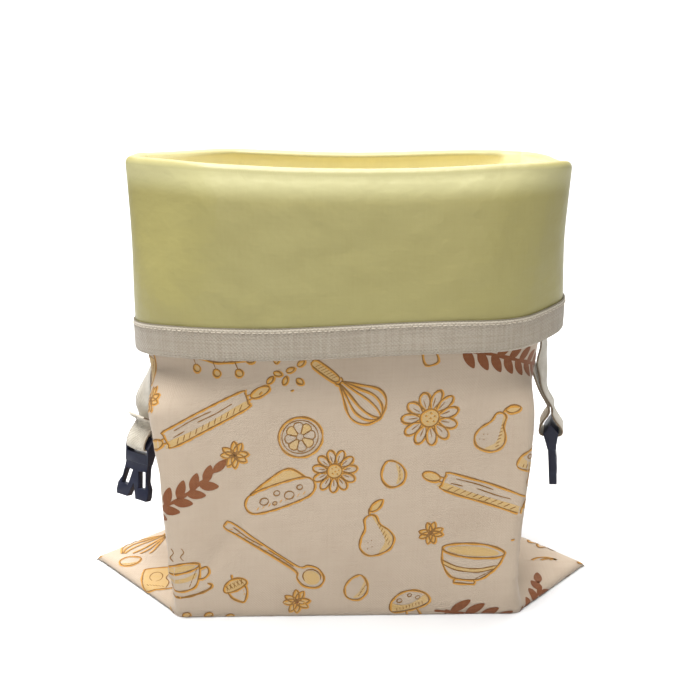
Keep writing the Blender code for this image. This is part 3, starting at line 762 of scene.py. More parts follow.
def leaf(length, width):
    return [(0.0, 0.0), (length * 0.3, -width * 0.45), (length * 0.7, -width * 0.4), (length, 0.0),
            (length * 0.7, width * 0.4), (length * 0.3, width * 0.45)]


def rolling_pin():
    pin = Motif()
    pin.line((-22, -5), (-23.4, -3), (-23.4, 3), (-22, 5), (0, 5.4), (22, 5), (23.4, 3), (23.4, -3),
             (22, -5), (0, -5.4), closed=True)
    pin.fill((-22, -5), (22, -5), (23.4, -2), (22, -1.2), (0, -2.4), (-22, -1.2), (-23.4, -2))
    for side in (-1, 1):
        pin.line((side * 23.4, 1.3), (side * 26, 1.2))
        pin.line((side * 23.4, -1.3), (side * 26, -1.2))
        pin.shape(*oval(side * 30.5, 0, 5, 2.5))
    pin.line((-17, 2.6), (-6, 3.0), (5, 2.5), width=FINE_WIDTH)
    pin.line((-4, 0.6), (7, 0.2), (16, 0.9), width=FINE_WIDTH)
    pin.line((-19, -0.6), (-12, -0.2), width=FINE_WIDTH)
    pin.hatch((-19, -4.6), (18, -4.6), (2.4, 2.6), 11)
    return pin


def wooden_spoon():
    spoon = Motif()
    spoon.line((17, 1.6), (5, 1.2), (-15, 1.7), (-31, 2.3), (-33, 0), (-31, -2.3), (-15, -1.7), (5, -1.2),
               (17, -1.6), (20, -4.6), (26, -6.2), (32, -3.8), (33.6, 0), (32, 3.8), (26, 6.2), (20, 4.6),
               closed=True)
    spoon.line(*oval(26.5, 0.2, 5.4, 4.2, 0, 15, 250), width=THIN_WIDTH)
    spoon.fill(*oval(26.5, -0.4, 5.2, 4.0))
    spoon.line((-28, 0.2), (-18, -0.3), (-8, 0.3), width=FINE_WIDTH)
    spoon.line((-4, 0), (6, 0.2), (14, -0.2), width=FINE_WIDTH)
    spoon.hatch((-29, -1.9), (8, -1.2), (1.8, 1.2), 9, ink="amber")
    return spoon


def whisk():
    tool = Motif()
    tool.shape((-25, -2), (-26.2, 0), (-25, 2), (-16, 2.3), (-9, 1.4), (-9, -1.4), (-16, -2.3))
    for half in (9.6, 6.0, 2.6):
        tool.line((-7, 0.8), (2, half * 0.55), (12, half), (20, half * 0.8), (24, 0), (20, -half * 0.8),
                  (12, -half), (2, -half * 0.55), (-7, -0.8))
    tool.line((-9, 2), (-7, 1.6), (-7, -1.6), (-9, -2))
    tool.hatch((-23, -1.4), (-12, -1.2), (1.4, 2.6), 7)
    return tool


def jar():
    pot = Motif()
    pot.line((-8.6, -13), (-11, -10.6), (-11.2, 3.6), (-8.6, 8), (8.6, 8), (11.2, 3.6), (11, -10.6),
             (8.6, -13), (0, -13.6), closed=True)
    pot.fill((-9.6, -12), (-10.4, 0), (-5, 1.4), (0, -0.6), (5, 1.2), (10.4, 0), (9.6, -12), (0, -12.9))
    pot.line((-10.6, 0), (-5, 1.6), (0, -0.4), (5, 1.4), (10.6, 0), width=THIN_WIDTH)
    pot.line((-9.4, 8.6), (-9.6, 12.6), (0, 13.4), (9.6, 12.6), (9.4, 8.6), (0, 9.3), closed=True)
    pot.hatch((-7.4, 9.4), (7.4, 9.4), (0, 2.9), 8)
    pot.hatch((5.6, -11), (8.2, -2.6), (1.4, 1.4), 6)
    pot.line(*oval(-1.6, -6, 4.8, 3.6), width=THIN_WIDTH)
    return pot


def mixing_bowl():
    bowl = Motif()
    bowl.line(*oval(0, 6, 17.5, 4.2), closed=True)
    bowl.fill(*oval(0, 5.4, 14.5, 2.8))
    bowl.line((-17.5, 5.6), (-15.6, -2), (-10.4, -9), (-5, -11.6), (5, -11.6), (10.4, -9), (15.6, -2),
              (17.5, 5.6))
    bowl.line((-5, -11.8), (-5.8, -14), (5.8, -14), (5, -11.8))
    bowl.line((-15.4, -1.4), (-6, -4.6), (6, -4.6), (15.4, -1.4), width=THIN_WIDTH)
    bowl.line((-14.2, -3.8), (-6, -6.8), (6, -6.8), (14.2, -3.8), width=THIN_WIDTH)
    bowl.fill((-15.4, -1.4), (-6, -4.6), (6, -4.6), (15.4, -1.4), (14.2, -3.8), (6, -6.8), (-6, -6.8),
              (-14.2, -3.8))
    bowl.hatch((6, -10.8), (12.6, -5.6), (1.6, 1.2), 5)
    return bowl


def cup():
    mug = Motif()
    mug.line(*oval(0, 6.4, 10.4, 2.7), closed=True)
    mug.fill(*oval(0, 6.0, 8.2, 1.7))
    mug.line((-10.4, 6), (-9.4, -0.6), (-5.4, -6.4), (5.4, -6.4), (9.4, -0.6), (10.4, 6))
    mug.line((9.8, 3.6), (14, 4.4), (15, 0.8), (12, -2), (8.6, -1.8))
    mug.line(*oval(0, -7, 15.6, 3.6, 0, 150, 390))
    mug.line(*oval(0, -7.6, 15.6, 3.6, 0, 190, 350), width=FINE_WIDTH)
    mug.line((-3.2, 11), (-4.8, 13.6), (-2.6, 16), (-3.8, 18.8), width=THIN_WIDTH)
    mug.line((2.4, 10.6), (0.8, 13), (3, 15.4), (1.8, 18), width=THIN_WIDTH)
    mug.hatch((3.6, -5.6), (8, 2.6), (1.0, 1.8), 5)
    mug.fill((-8.6, 1.8), (-3, 0.4), (3, 0.4), (8.6, 1.8), (7.6, -1), (3, -2.2), (-3, -2.2), (-7.6, -1))
    return mug


def daisy():
    flower = Motif()
    petal = [(5.4, -0.8), (9, -2.7), (13.4, -2.1), (15, 0), (13.4, 2.1), (9, 2.7), (5.4, 0.8)]
    for number in range(11):
        turn = number * 360 / 11 + 4
        flower.line(*turned(petal, turn))
        flower.line(*turned([(6.4, 0), (10.8, 0.4)], turn), width=0.5)
    flower.shape(*oval(0, 0, 5, 5))
    for x, y in ((-2, 1.4), (0.6, 2.4), (2.4, 0.2), (0, -0.4), (-1.8, -1.8), (1.4, -2.4)):
        flower.line((x, y), (x + 0.7, y + 0.5))
    return flower


def rosemary():
    sprig = Motif()
    sprig.line((-27, -7), (-13, -4), (3, -0.5), (16, 4), (27, 10))
    for number in range(11):
        x = -22 + number * 4.6
        y = -6.1 + 0.27 * (x + 22) + 0.0045 * (x + 22)**2 / 2
        for side in (-1, 1):
            needle = turned([(0.6, 0.0), (6.0, 0.5), (11.5 - number * 0.5, 0.0)],
                            14 + number * 2 + side * (62 - 2 * number), x + 1.1 * side, y)
            sprig.line(*needle)
    return sprig


def berries():
    twig = Motif()
    twig.line((-23, -3), (-9, 1), (6, 1.4), (21, 6))
    for x, y, side in ((-15, -0.8, 1), (-9, 1, -1), (-3, 1.4, 1), (3, 1.4, -1), (9, 2.2, 1), (15, 4, -1)):
        twig.line((x, y), (x + 2.6, y + side * 3.8), width=THIN_WIDTH)
        twig.shape(*oval(x + 3.6, y + side * 5.6, 2.3, 1.9, 30 * side))
    twig.shape(*oval(23, 7, 2.4, 2.0, 20))
    return twig


def lemon():
    slice_ = Motif()
    slice_.line(*oval(0, 0, 11.6, 11), closed=True)
    slice_.line(*oval(0, 0, 9.6, 9.1), closed=True, width=FINE_WIDTH)
    for number in range(8):
        wedge = turned([(1.6, 0), (6.6, -2.5), (8.1, 0), (6.6, 2.5)], number * 45 + 8)
        slice_.line(*wedge, closed=True, width=THIN_WIDTH)
        if number % 2:
            slice_.fill(*wedge)
    return slice_


def pear():
    fruit = Motif()
    fruit.line((0, 12), (3.2, 10.4), (4.2, 5), (7.8, 0), (9.4, -5.6), (6.2, -11), (0, -12.4), (-6.2, -11),
               (-9.4, -5.6), (-7.8, 0), (-4.2, 5), (-3.2, 10.4), closed=True)
    fruit.fill((1.6, 10.4), (3.2, 9.4), (4.2, 4.4), (7.4, -0.6), (8.8, -5.6), (5.8, -10.4), (0, -11.8),
               (4.4, -6.6), (4.4, -1))
    fruit.line((0, 11.4), (0.8, 15), (2.8, 17))
    fruit.shape(*turned(leaf(9, 4.4), 28, 1.2, 14))
    fruit.hatch((5.6, -8.6), (3.0, 4.6), (1.6, 1.8), 7)
    for x, y in ((-4.6, -4), (-3, -7), (-5.6, -7.4), (-2.4, -3.2)):
        fruit.line((x, y), (x + 0.5, y + 0.4), width=THIN_WIDTH)
    return fruit


def acorn():
    nut = Motif()
    nut.line((-5.6, 0.6), (-5.2, -4), (-2.4, -8.2), (0, -10), (2.4, -8.2), (5.2, -4), (5.6, 0.6))
    nut.shape((-7.2, 0.8), (-5.8, 5), (0, 7.2), (5.8, 5), (7.2, 0.8), (0, -0.8))
    nut.line((0, 7), (1, 10.4))
    nut.hatch((-5.4, 1.2), (4.2, 1.2), (1.4, 3.6), 5)
    nut.hatch((-3.8, 1.2), (5.6, 1.2), (-1.4, 3.6), 5)
    nut.hatch((2.6, -6), (4.0, -1.4), (0.8, 1.2), 3, ink="amber")
    return nut


def mushroom():
    cap = Motif()
    cap.line((-11, 0), (-9.6, 6), (-3, 10), (4, 9.6), (10, 5.4), (11, 0), (5, -2), (-5, -2), closed=True)
    cap.fill((-10.4, 0.4), (-9, 5), (-6, 3), (0, 1.6), (6, 3), (9.6, 4.6), (10.4, 0.4), (4.6, -1.4),
             (-4.6, -1.4))
    cap.line((-3, -2.2), (-3.6, -9), (-1.8, -11.2), (2.8, -11.2), (4, -9), (3, -2.2))
    cap.hatch((-7.6, -0.6), (7.0, -0.6), (0.3, 1.9), 9)
    for x, y, size in ((-4.6, 5.4, 1.5), (1.6, 7, 1.2), (5.6, 4.2, 1.3)):
        cap.line(*oval(x, y, size, size * 0.8), closed=True, width=FINE_WIDTH)
    return cap


def star_anise():
    star = Motif()
    for number in range(8):
        star.shape(*turned(leaf(7.4, 3.6), number * 45 + 12 * (number % 2), 0.9, 0))
    star.fill(*oval(0.9, 0, 1.6, 1.6), ink="bold")
    return star


def seeds():
    handful = Motif()
    for x, y, turn in ((-8, -1, 40), (-4, 4.4, -30), (0.6, -3.6, 70), (2.6, 3.4, 10), (7.4, -1.6, -50),
                       (9, 5, 30), (-1.6, 8.6, 80)):
        handful.shape(*turned(leaf(4.8, 2.8), turn, x, y))
    handful.line((-12, -6), (-10.6, -4.6))
    handful.line((4, -7.6), (5.6, -7.2))
    return handful


def cheese():
    wedge = Motif()
    wedge.line((-16, 0), (15, 2.6), (15.4, -8), (-15.6, -11), closed=True)
    wedge.line((-16, 0), (-6, 5.4), (7, 9.6), (15, 2.8))
    wedge.fill((-15.4, 0.4), (-6, 4.6), (7, 8.6), (13.6, 3.2), (0, 1.6))
    for x, y, size in ((-9, -5.6, 2.4), (-1.4, -2.6, 1.7), (4.8, -5.4, 2.7), (11.2, -2.4, 1.6),
                       (-3.6, -8, 1.2)):
        wedge.line(*oval(x, y, size, size * 0.85), closed=True, width=0.65)
    wedge.hatch((-14, -9.6), (12, -7), (1.6, 1.4), 9, ink="amber")
    return wedge


def egg():
    shell = Motif()
    shell.line((0, 8.4), (4.6, 5), (6.4, -0.6), (4.4, -5.6), (0, -7.2), (-4.4, -5.6), (-6.4, -0.6),
               (-4.6, 5), closed=True)
    shell.fill((3.6, 4.8), (5.4, -0.6), (3.8, -4.8), (0, -6.2), (2.6, -1.6))
    shell.hatch((2.4, -4.8), (4.4, 1.4), (0.7, 1.5), 4)
    return shell


def bold_branch():
    branch = Motif()
    stem = [(-37, -7), (-19, -2.4), (0, 0), (19, 2.2), (38, 8)]
    branch.line(*stem, width=1.9, ink="bold")
    for number in range(8):
        x = -30 + number * 8.4
        y = 0.16 * x * (0.75 + 0.0001 * x * x)
        for side in (-1, 1):
            branch.fill(*turned(leaf(13.0 - number * 0.35, 5.4), 10 + side * (46 - number),
                                x + 1.6 * side, y), ink="bold")
    branch.fill(*turned(leaf(11.0, 4.8), 18, 36.5, 7.5), ink="bold")
    return branch


# Where the drawings lie in one repeat, along the girth and up the cloth, each turned and sized.
Place = namedtuple("Place", "draw along up turn size", defaults=(1.0,))
PATTERN = (
    Place(rolling_pin, 78, 24, 26), Place(lemon, 128, 12, 0), Place(whisk, 152, 36, -40),
    Place(daisy, 196, 18, 10), Place(bold_branch, 240, 44, -26), Place(acorn, 26, 12, -20),
    Place(seeds, 116, 44, 10), Place(jar, 26, 50, 8), Place(berries, 76, 54, -14),
    Place(mushroom, 190, 58, 14), Place(star_anise, 126, 66, 0), Place(egg, 160, 72, -14),
    Place(rosemary, 283, 76, 62), Place(mixing_bowl, 222, 84, -10), Place(cup, 64, 84, 8),
    Place(wooden_spoon, 114, 96, -36), Place(pear, 168, 104, 16), Place(seeds, 256, 92, -40),
    Place(lemon, 14, 88, 20), Place(star_anise, 198, 102, 20, 0.9), Place(bold_branch, 50, 124, 22),
    Place(cheese, 116, 134, 12), Place(daisy, 146, 142, 0, 0.8), Place(rolling_pin, 226, 124, -22),
    Place(acorn, 94, 76, 24, 0.9), Place(star_anise, 45, 33, 30, 0.8), Place(egg, 8, 25, 30, 0.8),
    Place(mushroom, 254, 136, -10), Place(seeds, 6, 146, 30), Place(egg, 177, 138, 20),
    Place(cup, 290, 118, -12, 0.9), Place(jar, 276, 2, -8, 0.9), Place(star_anise, 92, 4, 0),
    Place(pear, 230, 8, -24, 0.9),
)


class Ink:
    """The mesh of one ink, gathered as points on the flat cloth and the faces between them."""

    def __init__(self):
        self.points = []
        self.faces = []

    def add(self, points, faces):
        first = len(self.points)
        self.points.extend(points)
        self.faces.extend([[first + index for index in face] for face in faces])

    def stroke(self, line, width, panel_start):
        """A line with a pen's uneven width and thin ends."""
        points, count = [], len(line)
        for index, point in enumerate(line):
            along = line[min(index + 1, count - 1)] - line[max(index - 1, 0)]
            if along.length == 0.0:
                return
            aside = Vector((-along.y, along.x)).normalized()
            ends = min(1.0, 0.55 + 0.3 * min(index, count - 1 - index))
            half = width / 2 * ends * (1 + 0.22 * math.sin(0.7 * point.x + 0.9 * point.y))
            points += [point - aside * half, point + aside * half]
        faces = []
        for index in range(count - 1):
            middle = (line[index] + line[index + 1]) / 2
            if printed(middle, panel_start):
                faces.append((2 * index, 2 * index + 2, 2 * index + 3, 2 * index + 1))
        self.add(points, faces)

    def tint(self, outline, panel_start):
        """A filled shape, in triangles small enough to follow the cloth."""
        corners = list(outline)
        xs, ys = [point.x for point in outline], [point.y for point in outline]
        count = len(outline)
        from_seams = min(min(xs) - panel_start, panel_start + FLAT_WIDTH - max(xs))
        step = END_TINT_STEP if from_seams < ENDS else TINT_STEP
        for x in np.arange(min(xs) + step / 2, max(xs), step):
            for y in np.arange(min(ys) + step / 2, max(ys), step):
                corners.append(Vector((x, y)))
        edges = [(index, (index + 1) % count) for index in range(count)]
        points, _, faces, *_ = delaunay_2d_cdt(corners, edges, [], 1, 0.001)
        kept = []
        for face in faces:
            middle = sum((points[index] for index in face), Vector((0.0, 0.0))) / len(face)
            if printed(middle, panel_start):
                kept.append(face)
        self.add(points, kept)


def printed(point, panel_start):
    return (panel_start + SEAM_MARGIN < point.x < panel_start + FLAT_WIDTH - SEAM_MARGIN
            and SEAM_MARGIN < point.y < PRINTED_TO)


def on_cloth(points, lift_off):
    """Places on the flat cloth as points of the made-up bag, a little off its face."""
    flat = np.array(points, dtype=float)
    along = np.concatenate([ALONG, [GIRTH]])
    cloth = np.concatenate([outer_grid, outer_grid[:, :1]], axis=1)
    heights = np.concatenate([outer_flat, outer_flat[:, :1]], axis=1)
    column = np.clip(np.searchsorted(along, flat[:, 0], side="right") - 1, 0, COLUMNS - 1)
    across = np.clip((flat[:, 0] - along[column]) / (along[column + 1] - along[column]), 0.0, 1.0)
    levels = heights[:, column] * (1 - across) + heights[:, column + 1] * across
    row = np.clip((levels <= flat[:, 1]).sum(axis=0) - 1, 0, len(levels) - 2)
    each = np.arange(len(flat))
    up = np.clip((flat[:, 1] - levels[row, each]) / (levels[row + 1, each] - levels[row, each]), 0.0, 1.0)
    across, up = across[:, None], up[:, None]
    low_left, low_right = cloth[row, column], cloth[row, column + 1]
    high_left, high_right = cloth[row + 1, column], cloth[row + 1, column + 1]
    places = np.where(across > up,
                      low_left + (low_right - low_left) * across + (high_right - low_right) * up,
                      low_left + (high_left - low_left) * up + (high_right - high_left) * across)
    rightwards = (low_right - low_left) * (1 - up) + (high_right - high_left) * up
    upwards = (high_left - low_left) * (1 - across) + (high_right - low_right) * across
    ways = np.cross(rightwards, upwards)
    ways /= np.maximum(np.linalg.norm(ways, axis=1, keepdims=True), 1e-9)
    on_ear = (row < EAR_ROWS + 3) & (places[:, 2] > 0.3)
    return places + ways * (lift_off + EAR_LIFT * on_ear[:, None])


inks = {name: Ink() for name in INK_LIFTS}
drawings = {place.draw: place.draw() for place in PATTERN}
for panel_start, shift in ((0.0, 0.0), (FLAT_WIDTH, BACK_SHIFT)):
    for place in PATTERN:
        drawing = drawings[place.draw]
        turn = Matrix.Rotation(math.radians(place.turn), 2)
        for repeat_up in (-REPEAT_HEIGHT, 0.0, REPEAT_HEIGHT):
            for repeat_along in (-FLAT_WIDTH, 0.0, FLAT_WIDTH):
                middle = Vector((panel_start + shift + place.along + repeat_along, place.up + repeat_up))
                beside = not -MOTIF_REACH < middle.x - panel_start < FLAT_WIDTH + MOTIF_REACH
                if beside or not -MOTIF_REACH < middle.y < PRINTED_TO + MOTIF_REACH:
                    continue
                for ink, outline in drawing.shapes:
                    inks[ink].tint([middle + turn @ point * place.size for point in outline], panel_start)
                for ink, width, line in drawing.lines:
                    inks[ink].stroke([middle + turn @ point * place.size for point in line],
                                     width, panel_start)

INK_COLOURS = {           # full and worn
    "tint": ((0.50, 0.33, 0.125), (0.50, 0.375, 0.23)),
    "amber": ((0.54, 0.25, 0.035), (0.53, 0.31, 0.095)),
    "bold": ((0.17, 0.053, 0.017), (0.26, 0.11, 0.047)),
    "pen": ((0.20, 0.095, 0.022), (0.31, 0.175, 0.066)),
}
for ink, gathered in inks.items():
    ink_mesh = bmesh.new()
    flat_map = ink_mesh.loops.layers.uv.new("flat_cloth")
    points = [ink_mesh.verts.new(point) for point in on_cloth(gathered.points, INK_LIFTS[ink]) * MM]
    for corners in gathered.faces:
        if len(set(corners)) < 3:
            continue
        face = ink_mesh.faces.new([points[index] for index in corners])
        face.smooth = True
        for loop, index in zip(face.loops, corners):
            loop[flat_map].uv = Vector(gathered.points[index]) * MM
    loose = [point for point in ink_mesh.verts if not point.link_faces]
    bmesh.ops.delete(ink_mesh, geom=loose, context="VERTS")
    printed_ink = add_piece("print_" + ink, ink_mesh, "printed_linen")
    inked, ink_tone, ink_height = linen_finish("ink_" + ink, *INK_COLOURS[ink])
    inked.feed("Base Color", ink_tone)
    inked.bump(ink_height, WEAVE_DEPTH)
    printed_ink.data.materials.append(inked.material)

# ---------------------------------------------------------------- lining
# The lining is coated cloth, pale yellow and a little glossy. It stands inside the outer cloth as a
# bag of its own, comes over the rim with it, and makes the cuff's outer face.
LINING_DEPTH = 2.3       # of its visible face, from the outer cloth's face
LINING_THICKNESS = 0.6
RIM_UP = WALL_TOP + TURN_RADIUS * math.pi / 2    # of the rim, from the wall's foot
# Its colours, and how far from the rim each begins and ends.
CUFF_COLOUR = (0.31, 0.275, 0.100)
CUFF_SHADE = (0.28, 0.245, 0.083)
RIM_HIGHLIGHT_COLOUR = (0.47, 0.44, 0.225)      # painted highlight, paler towards the rim where the top light falls
RIM_HIGHLIGHT_REACH = (5.0, 17.0)
# Painted shade: a darker band along the rim's crest holds down the top light there.
RIM_PAINTED_SHADE = (0.26, 0.22, 0.058)
RIM_PAINTED_SHADE_REACH = (0.5, 1.9)
# Painted light: the lining's inside is painted far paler than its cuff, standing in for the light inside
# the mouth.
INSIDE_PAINTED_LIGHT_COLOUR = (0.90, 0.82, 0.48)
INSIDE_REACH = (2.2, 0.6)
COATED_PITCH = 0.6
COATED_RELIEF = 0.12


def bag_floor(mesh, ring, flat):
    """Closes a row at the bottom with a grid between the front, the back and the two sides."""
    front = ring[EAR_COLUMNS:EAR_COLUMNS + FACE_COLUMNS + 1]
    back_start = PANEL_COLUMNS + EAR_COLUMNS
    back = list(reversed(ring[back_start:back_start + FACE_COLUMNS + 1]))
    right = ring[EAR_COLUMNS + FACE_COLUMNS:back_start + 1]
    left = list(reversed(ring[back_start + FACE_COLUMNS:] + ring[:EAR_COLUMNS + 1]))
    rows = [front]
    depth_steps = 2 * EAR_COLUMNS
    for step in range(1, depth_steps):
        share = step / depth_steps
        row = [left[step]]
        for column in range(1, FACE_COLUMNS):
            across = column / FACE_COLUMNS
            straight = front[column].co.lerp(back[column].co, share)
            ends = left[step].co.lerp(right[step].co, across)
            level = front[0].co.lerp(front[-1].co, across).lerp(back[0].co.lerp(back[-1].co, across), share)
            row.append(mesh.verts.new(straight + ends - level))
        rows.append(row + [right[step]])
    rows.append(back)
    for low, high in zip(rows, rows[1:]):
        for column in range(FACE_COLUMNS):
            face = mesh.faces.new((low[column], high[column], high[column + 1], low[column + 1]))
            face.smooth = True
            for loop in face.loops:
                loop[flat].uv = (loop.vert.co.x, loop.vert.co.y)


foot_row = raised(grown(body_ring(0.0), -LINING_DEPTH), LINING_DEPTH)
lining_grid = np.array([foot_row] + wall_rows(LINING_DEPTH) + turn_rows(LINING_DEPTH)
                       + cuff_rows(LINING_DEPTH, CUT_EDGE))
lining_up = np.array([FOOT] + wall_up + turn_up + cuff_up) - FOOT
lining_mesh = cloth_mesh(lining_grid, lining_up)
lining_mesh.verts.ensure_lookup_table()
bag_floor(lining_mesh, [lining_mesh.verts[i] for i in range(COLUMNS)],
          lining_mesh.loops.layers.uv["flat_cloth"])
bmesh.ops.reverse_faces(lining_mesh, faces=lining_mesh.faces)
lining = add_piece("coated_lining", lining_mesh, "coated_lining", "lining")
thicken(lining, LINING_THICKNESS)
coated = Finish("coated_lining", 0.42, Coat_Weight=0.12, Coat_Roughness=0.35, Specular_IOR_Level=0.45)
clouds = coated.noise(coated.flat_place(), 0.022, 4.0)
fibres, knots = coated.plain_weave(COATED_PITCH)
_, from_foot = coated.split_place()
mottled = clouds.clamped(0.3, 0.7) * 0.6 + knots.clamped(0.4, 0.7) * 0.2
outside = coated.mix(mottled, CUFF_COLOUR, CUFF_SHADE)
from_rim = abs(from_foot - RIM_UP)
# Painted highlight: the cuff is painted paler in a band below the rim, where the top light falls.
rim_highlighted = coated.mix((1 - from_rim.clamped(*RIM_HIGHLIGHT_REACH)) * 0.8, outside, RIM_HIGHLIGHT_COLOUR)
# Painted light: inside the mouth the lining takes the much paler inside colour.
inside = 1 - from_foot.clamped(RIM_UP - INSIDE_REACH[0], RIM_UP - INSIDE_REACH[1])
both_sides = coated.mix(inside * 0.9, rim_highlighted, INSIDE_PAINTED_LIGHT_COLOUR)
# A darker band is painted along the rim's crest, as painted shade against the top light.
coated.feed("Base Color", coated.mix((1 - from_rim.clamped(*RIM_PAINTED_SHADE_REACH)) * 0.9, both_sides, RIM_PAINTED_SHADE))
coated.feed("Roughness", clouds * 0.16 + 0.36)
coated.bump(fibres * 0.25 + coated.noise(coated.flat_place(), 0.09, 3.0) * 5.0, COATED_RELIEF)
lining.data.materials.append(coated.material)

# ---------------------------------------------------------------- binding
# A coarse linen tape is folded over the mouth's edge and stitched near its own upper edge. With the
# mouth turned down it runs along the cuff's lower edge.
TAPE_FRONT = 17.5        # height on the lining's side
TAPE_BACK = 10.0         # and on the cloth's side
TAPE_THICKNESS = 0.8
TAPE_GAP = 0.2
TAPE_FACE = STACK + TAPE_GAP + TAPE_THICKNESS
TAPE_BACK_FACE = -TAPE_GAP - TAPE_THICKNESS
TAPE_TURN = (TAPE_FACE - TAPE_BACK_FACE) / 2
TAPE_BACK_ROWS = 5
TAPE_TURN_STEPS = 8
TAPE_FRONT_ROWS = 9
TAPE_COLOUR = (0.37, 0.325, 0.26)
TAPE_SHADE = (0.28, 0.235, 0.18)
RIDGE_COLOUR = (0.47, 0.42, 0.34)        # along its upper edge, where it catches the light
RIDGE_REACH = (1.8, 1.2)                 # from that edge
EDGE_LINE_COLOUR = (0.09, 0.075, 0.04)   # in the shade under the edge
EDGE_LINE_REACH = (0.7, 0.4)
TAPE_PITCH = 0.95
TAPE_RELIEF = 0.22
THREAD_COLOUR = (0.50, 0.44, 0.35)
THREAD_SHADE = (0.40, 0.34, 0.26)
STITCH_PITCH = 3.0
STITCH_LENGTH = 2.3
STITCH_WIDTH = 0.55
STITCH_INSET = 2.2       # from the tape's edge
# A stitch's cross sections: the share of its length, how far off the tape, and the share of its width.
STITCH_SECTIONS = ((0.0, -0.1, 0.5), (0.2, 0.22, 1.0), (0.8, 0.22, 1.0), (1.0, -0.1, 0.5))


def tape_row(above, depth):
    return raised(grown(cuff_ring(CUFF_EDGE + above), depth - STACK), EDGE_LEVEL + above)


tape_rows, tape_up = [], []
for above in np.linspace(TAPE_BACK, TAPE_TURN, TAPE_BACK_ROWS):
    tape_rows.append(tape_row(above, TAPE_BACK_FACE))
    tape_up.append(TAPE_TURN - above)
for step in range(1, TAPE_TURN_STEPS):
    angle = math.pi * step / TAPE_TURN_STEPS
    tape_rows.append(tape_row(TAPE_TURN - TAPE_TURN * math.sin(angle),
                              TAPE_BACK_FACE + TAPE_TURN * (1 - math.cos(angle))))
    tape_up.append(TAPE_TURN * angle)
for above in np.linspace(TAPE_TURN, TAPE_FRONT, TAPE_FRONT_ROWS):
    tape_rows.append(tape_row(above, TAPE_FACE))
    tape_up.append(TAPE_TURN * (math.pi - 1) + above)
tape_flat = np.repeat(np.array(tape_up)[:, None], COLUMNS, axis=1)
tape = add_piece("linen_tape", cloth_mesh(np.array(tape_rows), tape_flat), "linen_tape", "binding")
thicken(tape, TAPE_THICKNESS)
taped = Finish("linen_tape", 0.9, Sheen_Weight=0.2, Specular_IOR_Level=0.2)
yarns, yarn_slubs = taped.plain_weave(TAPE_PITCH)
_, from_back = taped.split_place()
upper_edge = TAPE_TURN * (math.pi - 1) + TAPE_FRONT
woven = taped.mix(yarn_slubs.clamped(0.4, 0.65) * 0.5 + (1 - yarns) * 0.35, TAPE_COLOUR, TAPE_SHADE)
ridge, edge_line = (from_back.clamped(upper_edge - reach[0], upper_edge - reach[1])
                    for reach in (RIDGE_REACH, EDGE_LINE_REACH))
ridged = taped.mix(ridge * 0.6, woven, RIDGE_COLOUR)
taped.feed("Base Color", taped.mix(edge_line * 0.8, ridged, EDGE_LINE_COLOUR))
taped.bump(yarns + yarn_slubs * 1.2, TAPE_RELIEF)
tape.data.materials.append(taped.material)


def stitch_row(mesh, starts, ends, normals):
    """Short threads from start to end, each arched a little off the cloth."""
    for start, end, normal in zip(starts, ends, normals):
        along = (end - start).normalized()
        side = along.cross(normal).normalized() * STITCH_WIDTH / 2
        rings = []
        for share, arch, width in STITCH_SECTIONS:
            middle = start.lerp(end, share) + normal * arch
            off = normal * STITCH_WIDTH / 2
            rings.append([mesh.verts.new((middle + way * width) * MM) for way in (side, off, -side, -off)])
        for low, high in zip(rings, rings[1:]):
            for index in range(4):
                after = (index + 1) % 4
                mesh.faces.new((low[index], low[after], high[after], high[index])).smooth = True
        mesh.faces.new(rings[0])
        mesh.faces.new(rings[-1])


def ring_places(row, distances):
    """Points of a closed row at distances along it, from its first column, and the ways outwards."""
    closed = np.vstack([row, row[:1]])
    lengths = np.concatenate([[0.0], np.cumsum(np.linalg.norm(np.diff(closed, axis=0), axis=1))])
    points = np.stack([np.interp(distances, lengths, closed[:, axis]) for axis in range(3)], axis=1)
    ways = np.vstack([outward(row[:, :2]), outward(row[:, :2])[:1]])
    ways = np.stack([np.interp(distances, lengths, ways[:, axis]) for axis in range(2)], axis=1)
    return ([Vector(point) for point in points],
            [Vector((*way, 0.0)).normalized() for way in ways], lengths[-1])


stitches = bmesh.new()
stitched_row = tape_row(TAPE_FRONT - STITCH_INSET, TAPE_FACE)
stitch_count = int(ring_places(stitched_row, [0.0])[2] / STITCH_PITCH)
along_row = np.arange(stitch_count) * STITCH_PITCH
starts, ways, _ = ring_places(stitched_row, along_row)
ends, _, _ = ring_places(stitched_row, along_row + STITCH_LENGTH)
stitch_row(stitches, starts, ends, ways)
bmesh.ops.recalc_face_normals(stitches, faces=stitches.faces)
tape_stitches = add_piece("tape_stitches", stitches, "linen_tape")
thread = Finish("stitching_thread", 0.7, Sheen_Weight=0.2)
strands = thread.object_noise(900.0).clamped(0.35, 0.65)
thread.feed("Base Color", thread.mix(strands, THREAD_COLOUR, THREAD_SHADE))
tape_stitches.data.materials.append(thread.material)

# ---------------------------------------------------------------- straps
# Each side has a strap of cotton webbing, sewn in under the cuff at the side seam. It runs down to a
# buckle plug, round the plug's bar and back up on itself.
WEBBING_WIDTH = 13.8
WEBBING_THICKNESS = 1.1
WEBBING_EDGE = 0.25      # how far its rounded edges reach in
WEBBING_STEP = 1.2       # between cross sections
BUCKLE_LENGTHS = (4.1, 13.0)  # of the waves in which its edges buckle, and of a ripple across it
RIPPLE_LENGTHS = (6.0, 3.0)
RIB_PITCH = 1.7
SELVEDGE_AND_SHADE_REACH = (6.0, 6.8)    # from its middle line
WEBBING_COLOUR = (0.53, 0.49, 0.41)
WEBBING_SHADE = (0.38, 0.335, 0.265)
# Painted shade: the webbing's edges are darkened to stand in for the shade between the strap's two layers.
EDGE_PAINTED_SHADE = (0.17, 0.12, 0.075)
WEBBING_RELIEF = 0.16

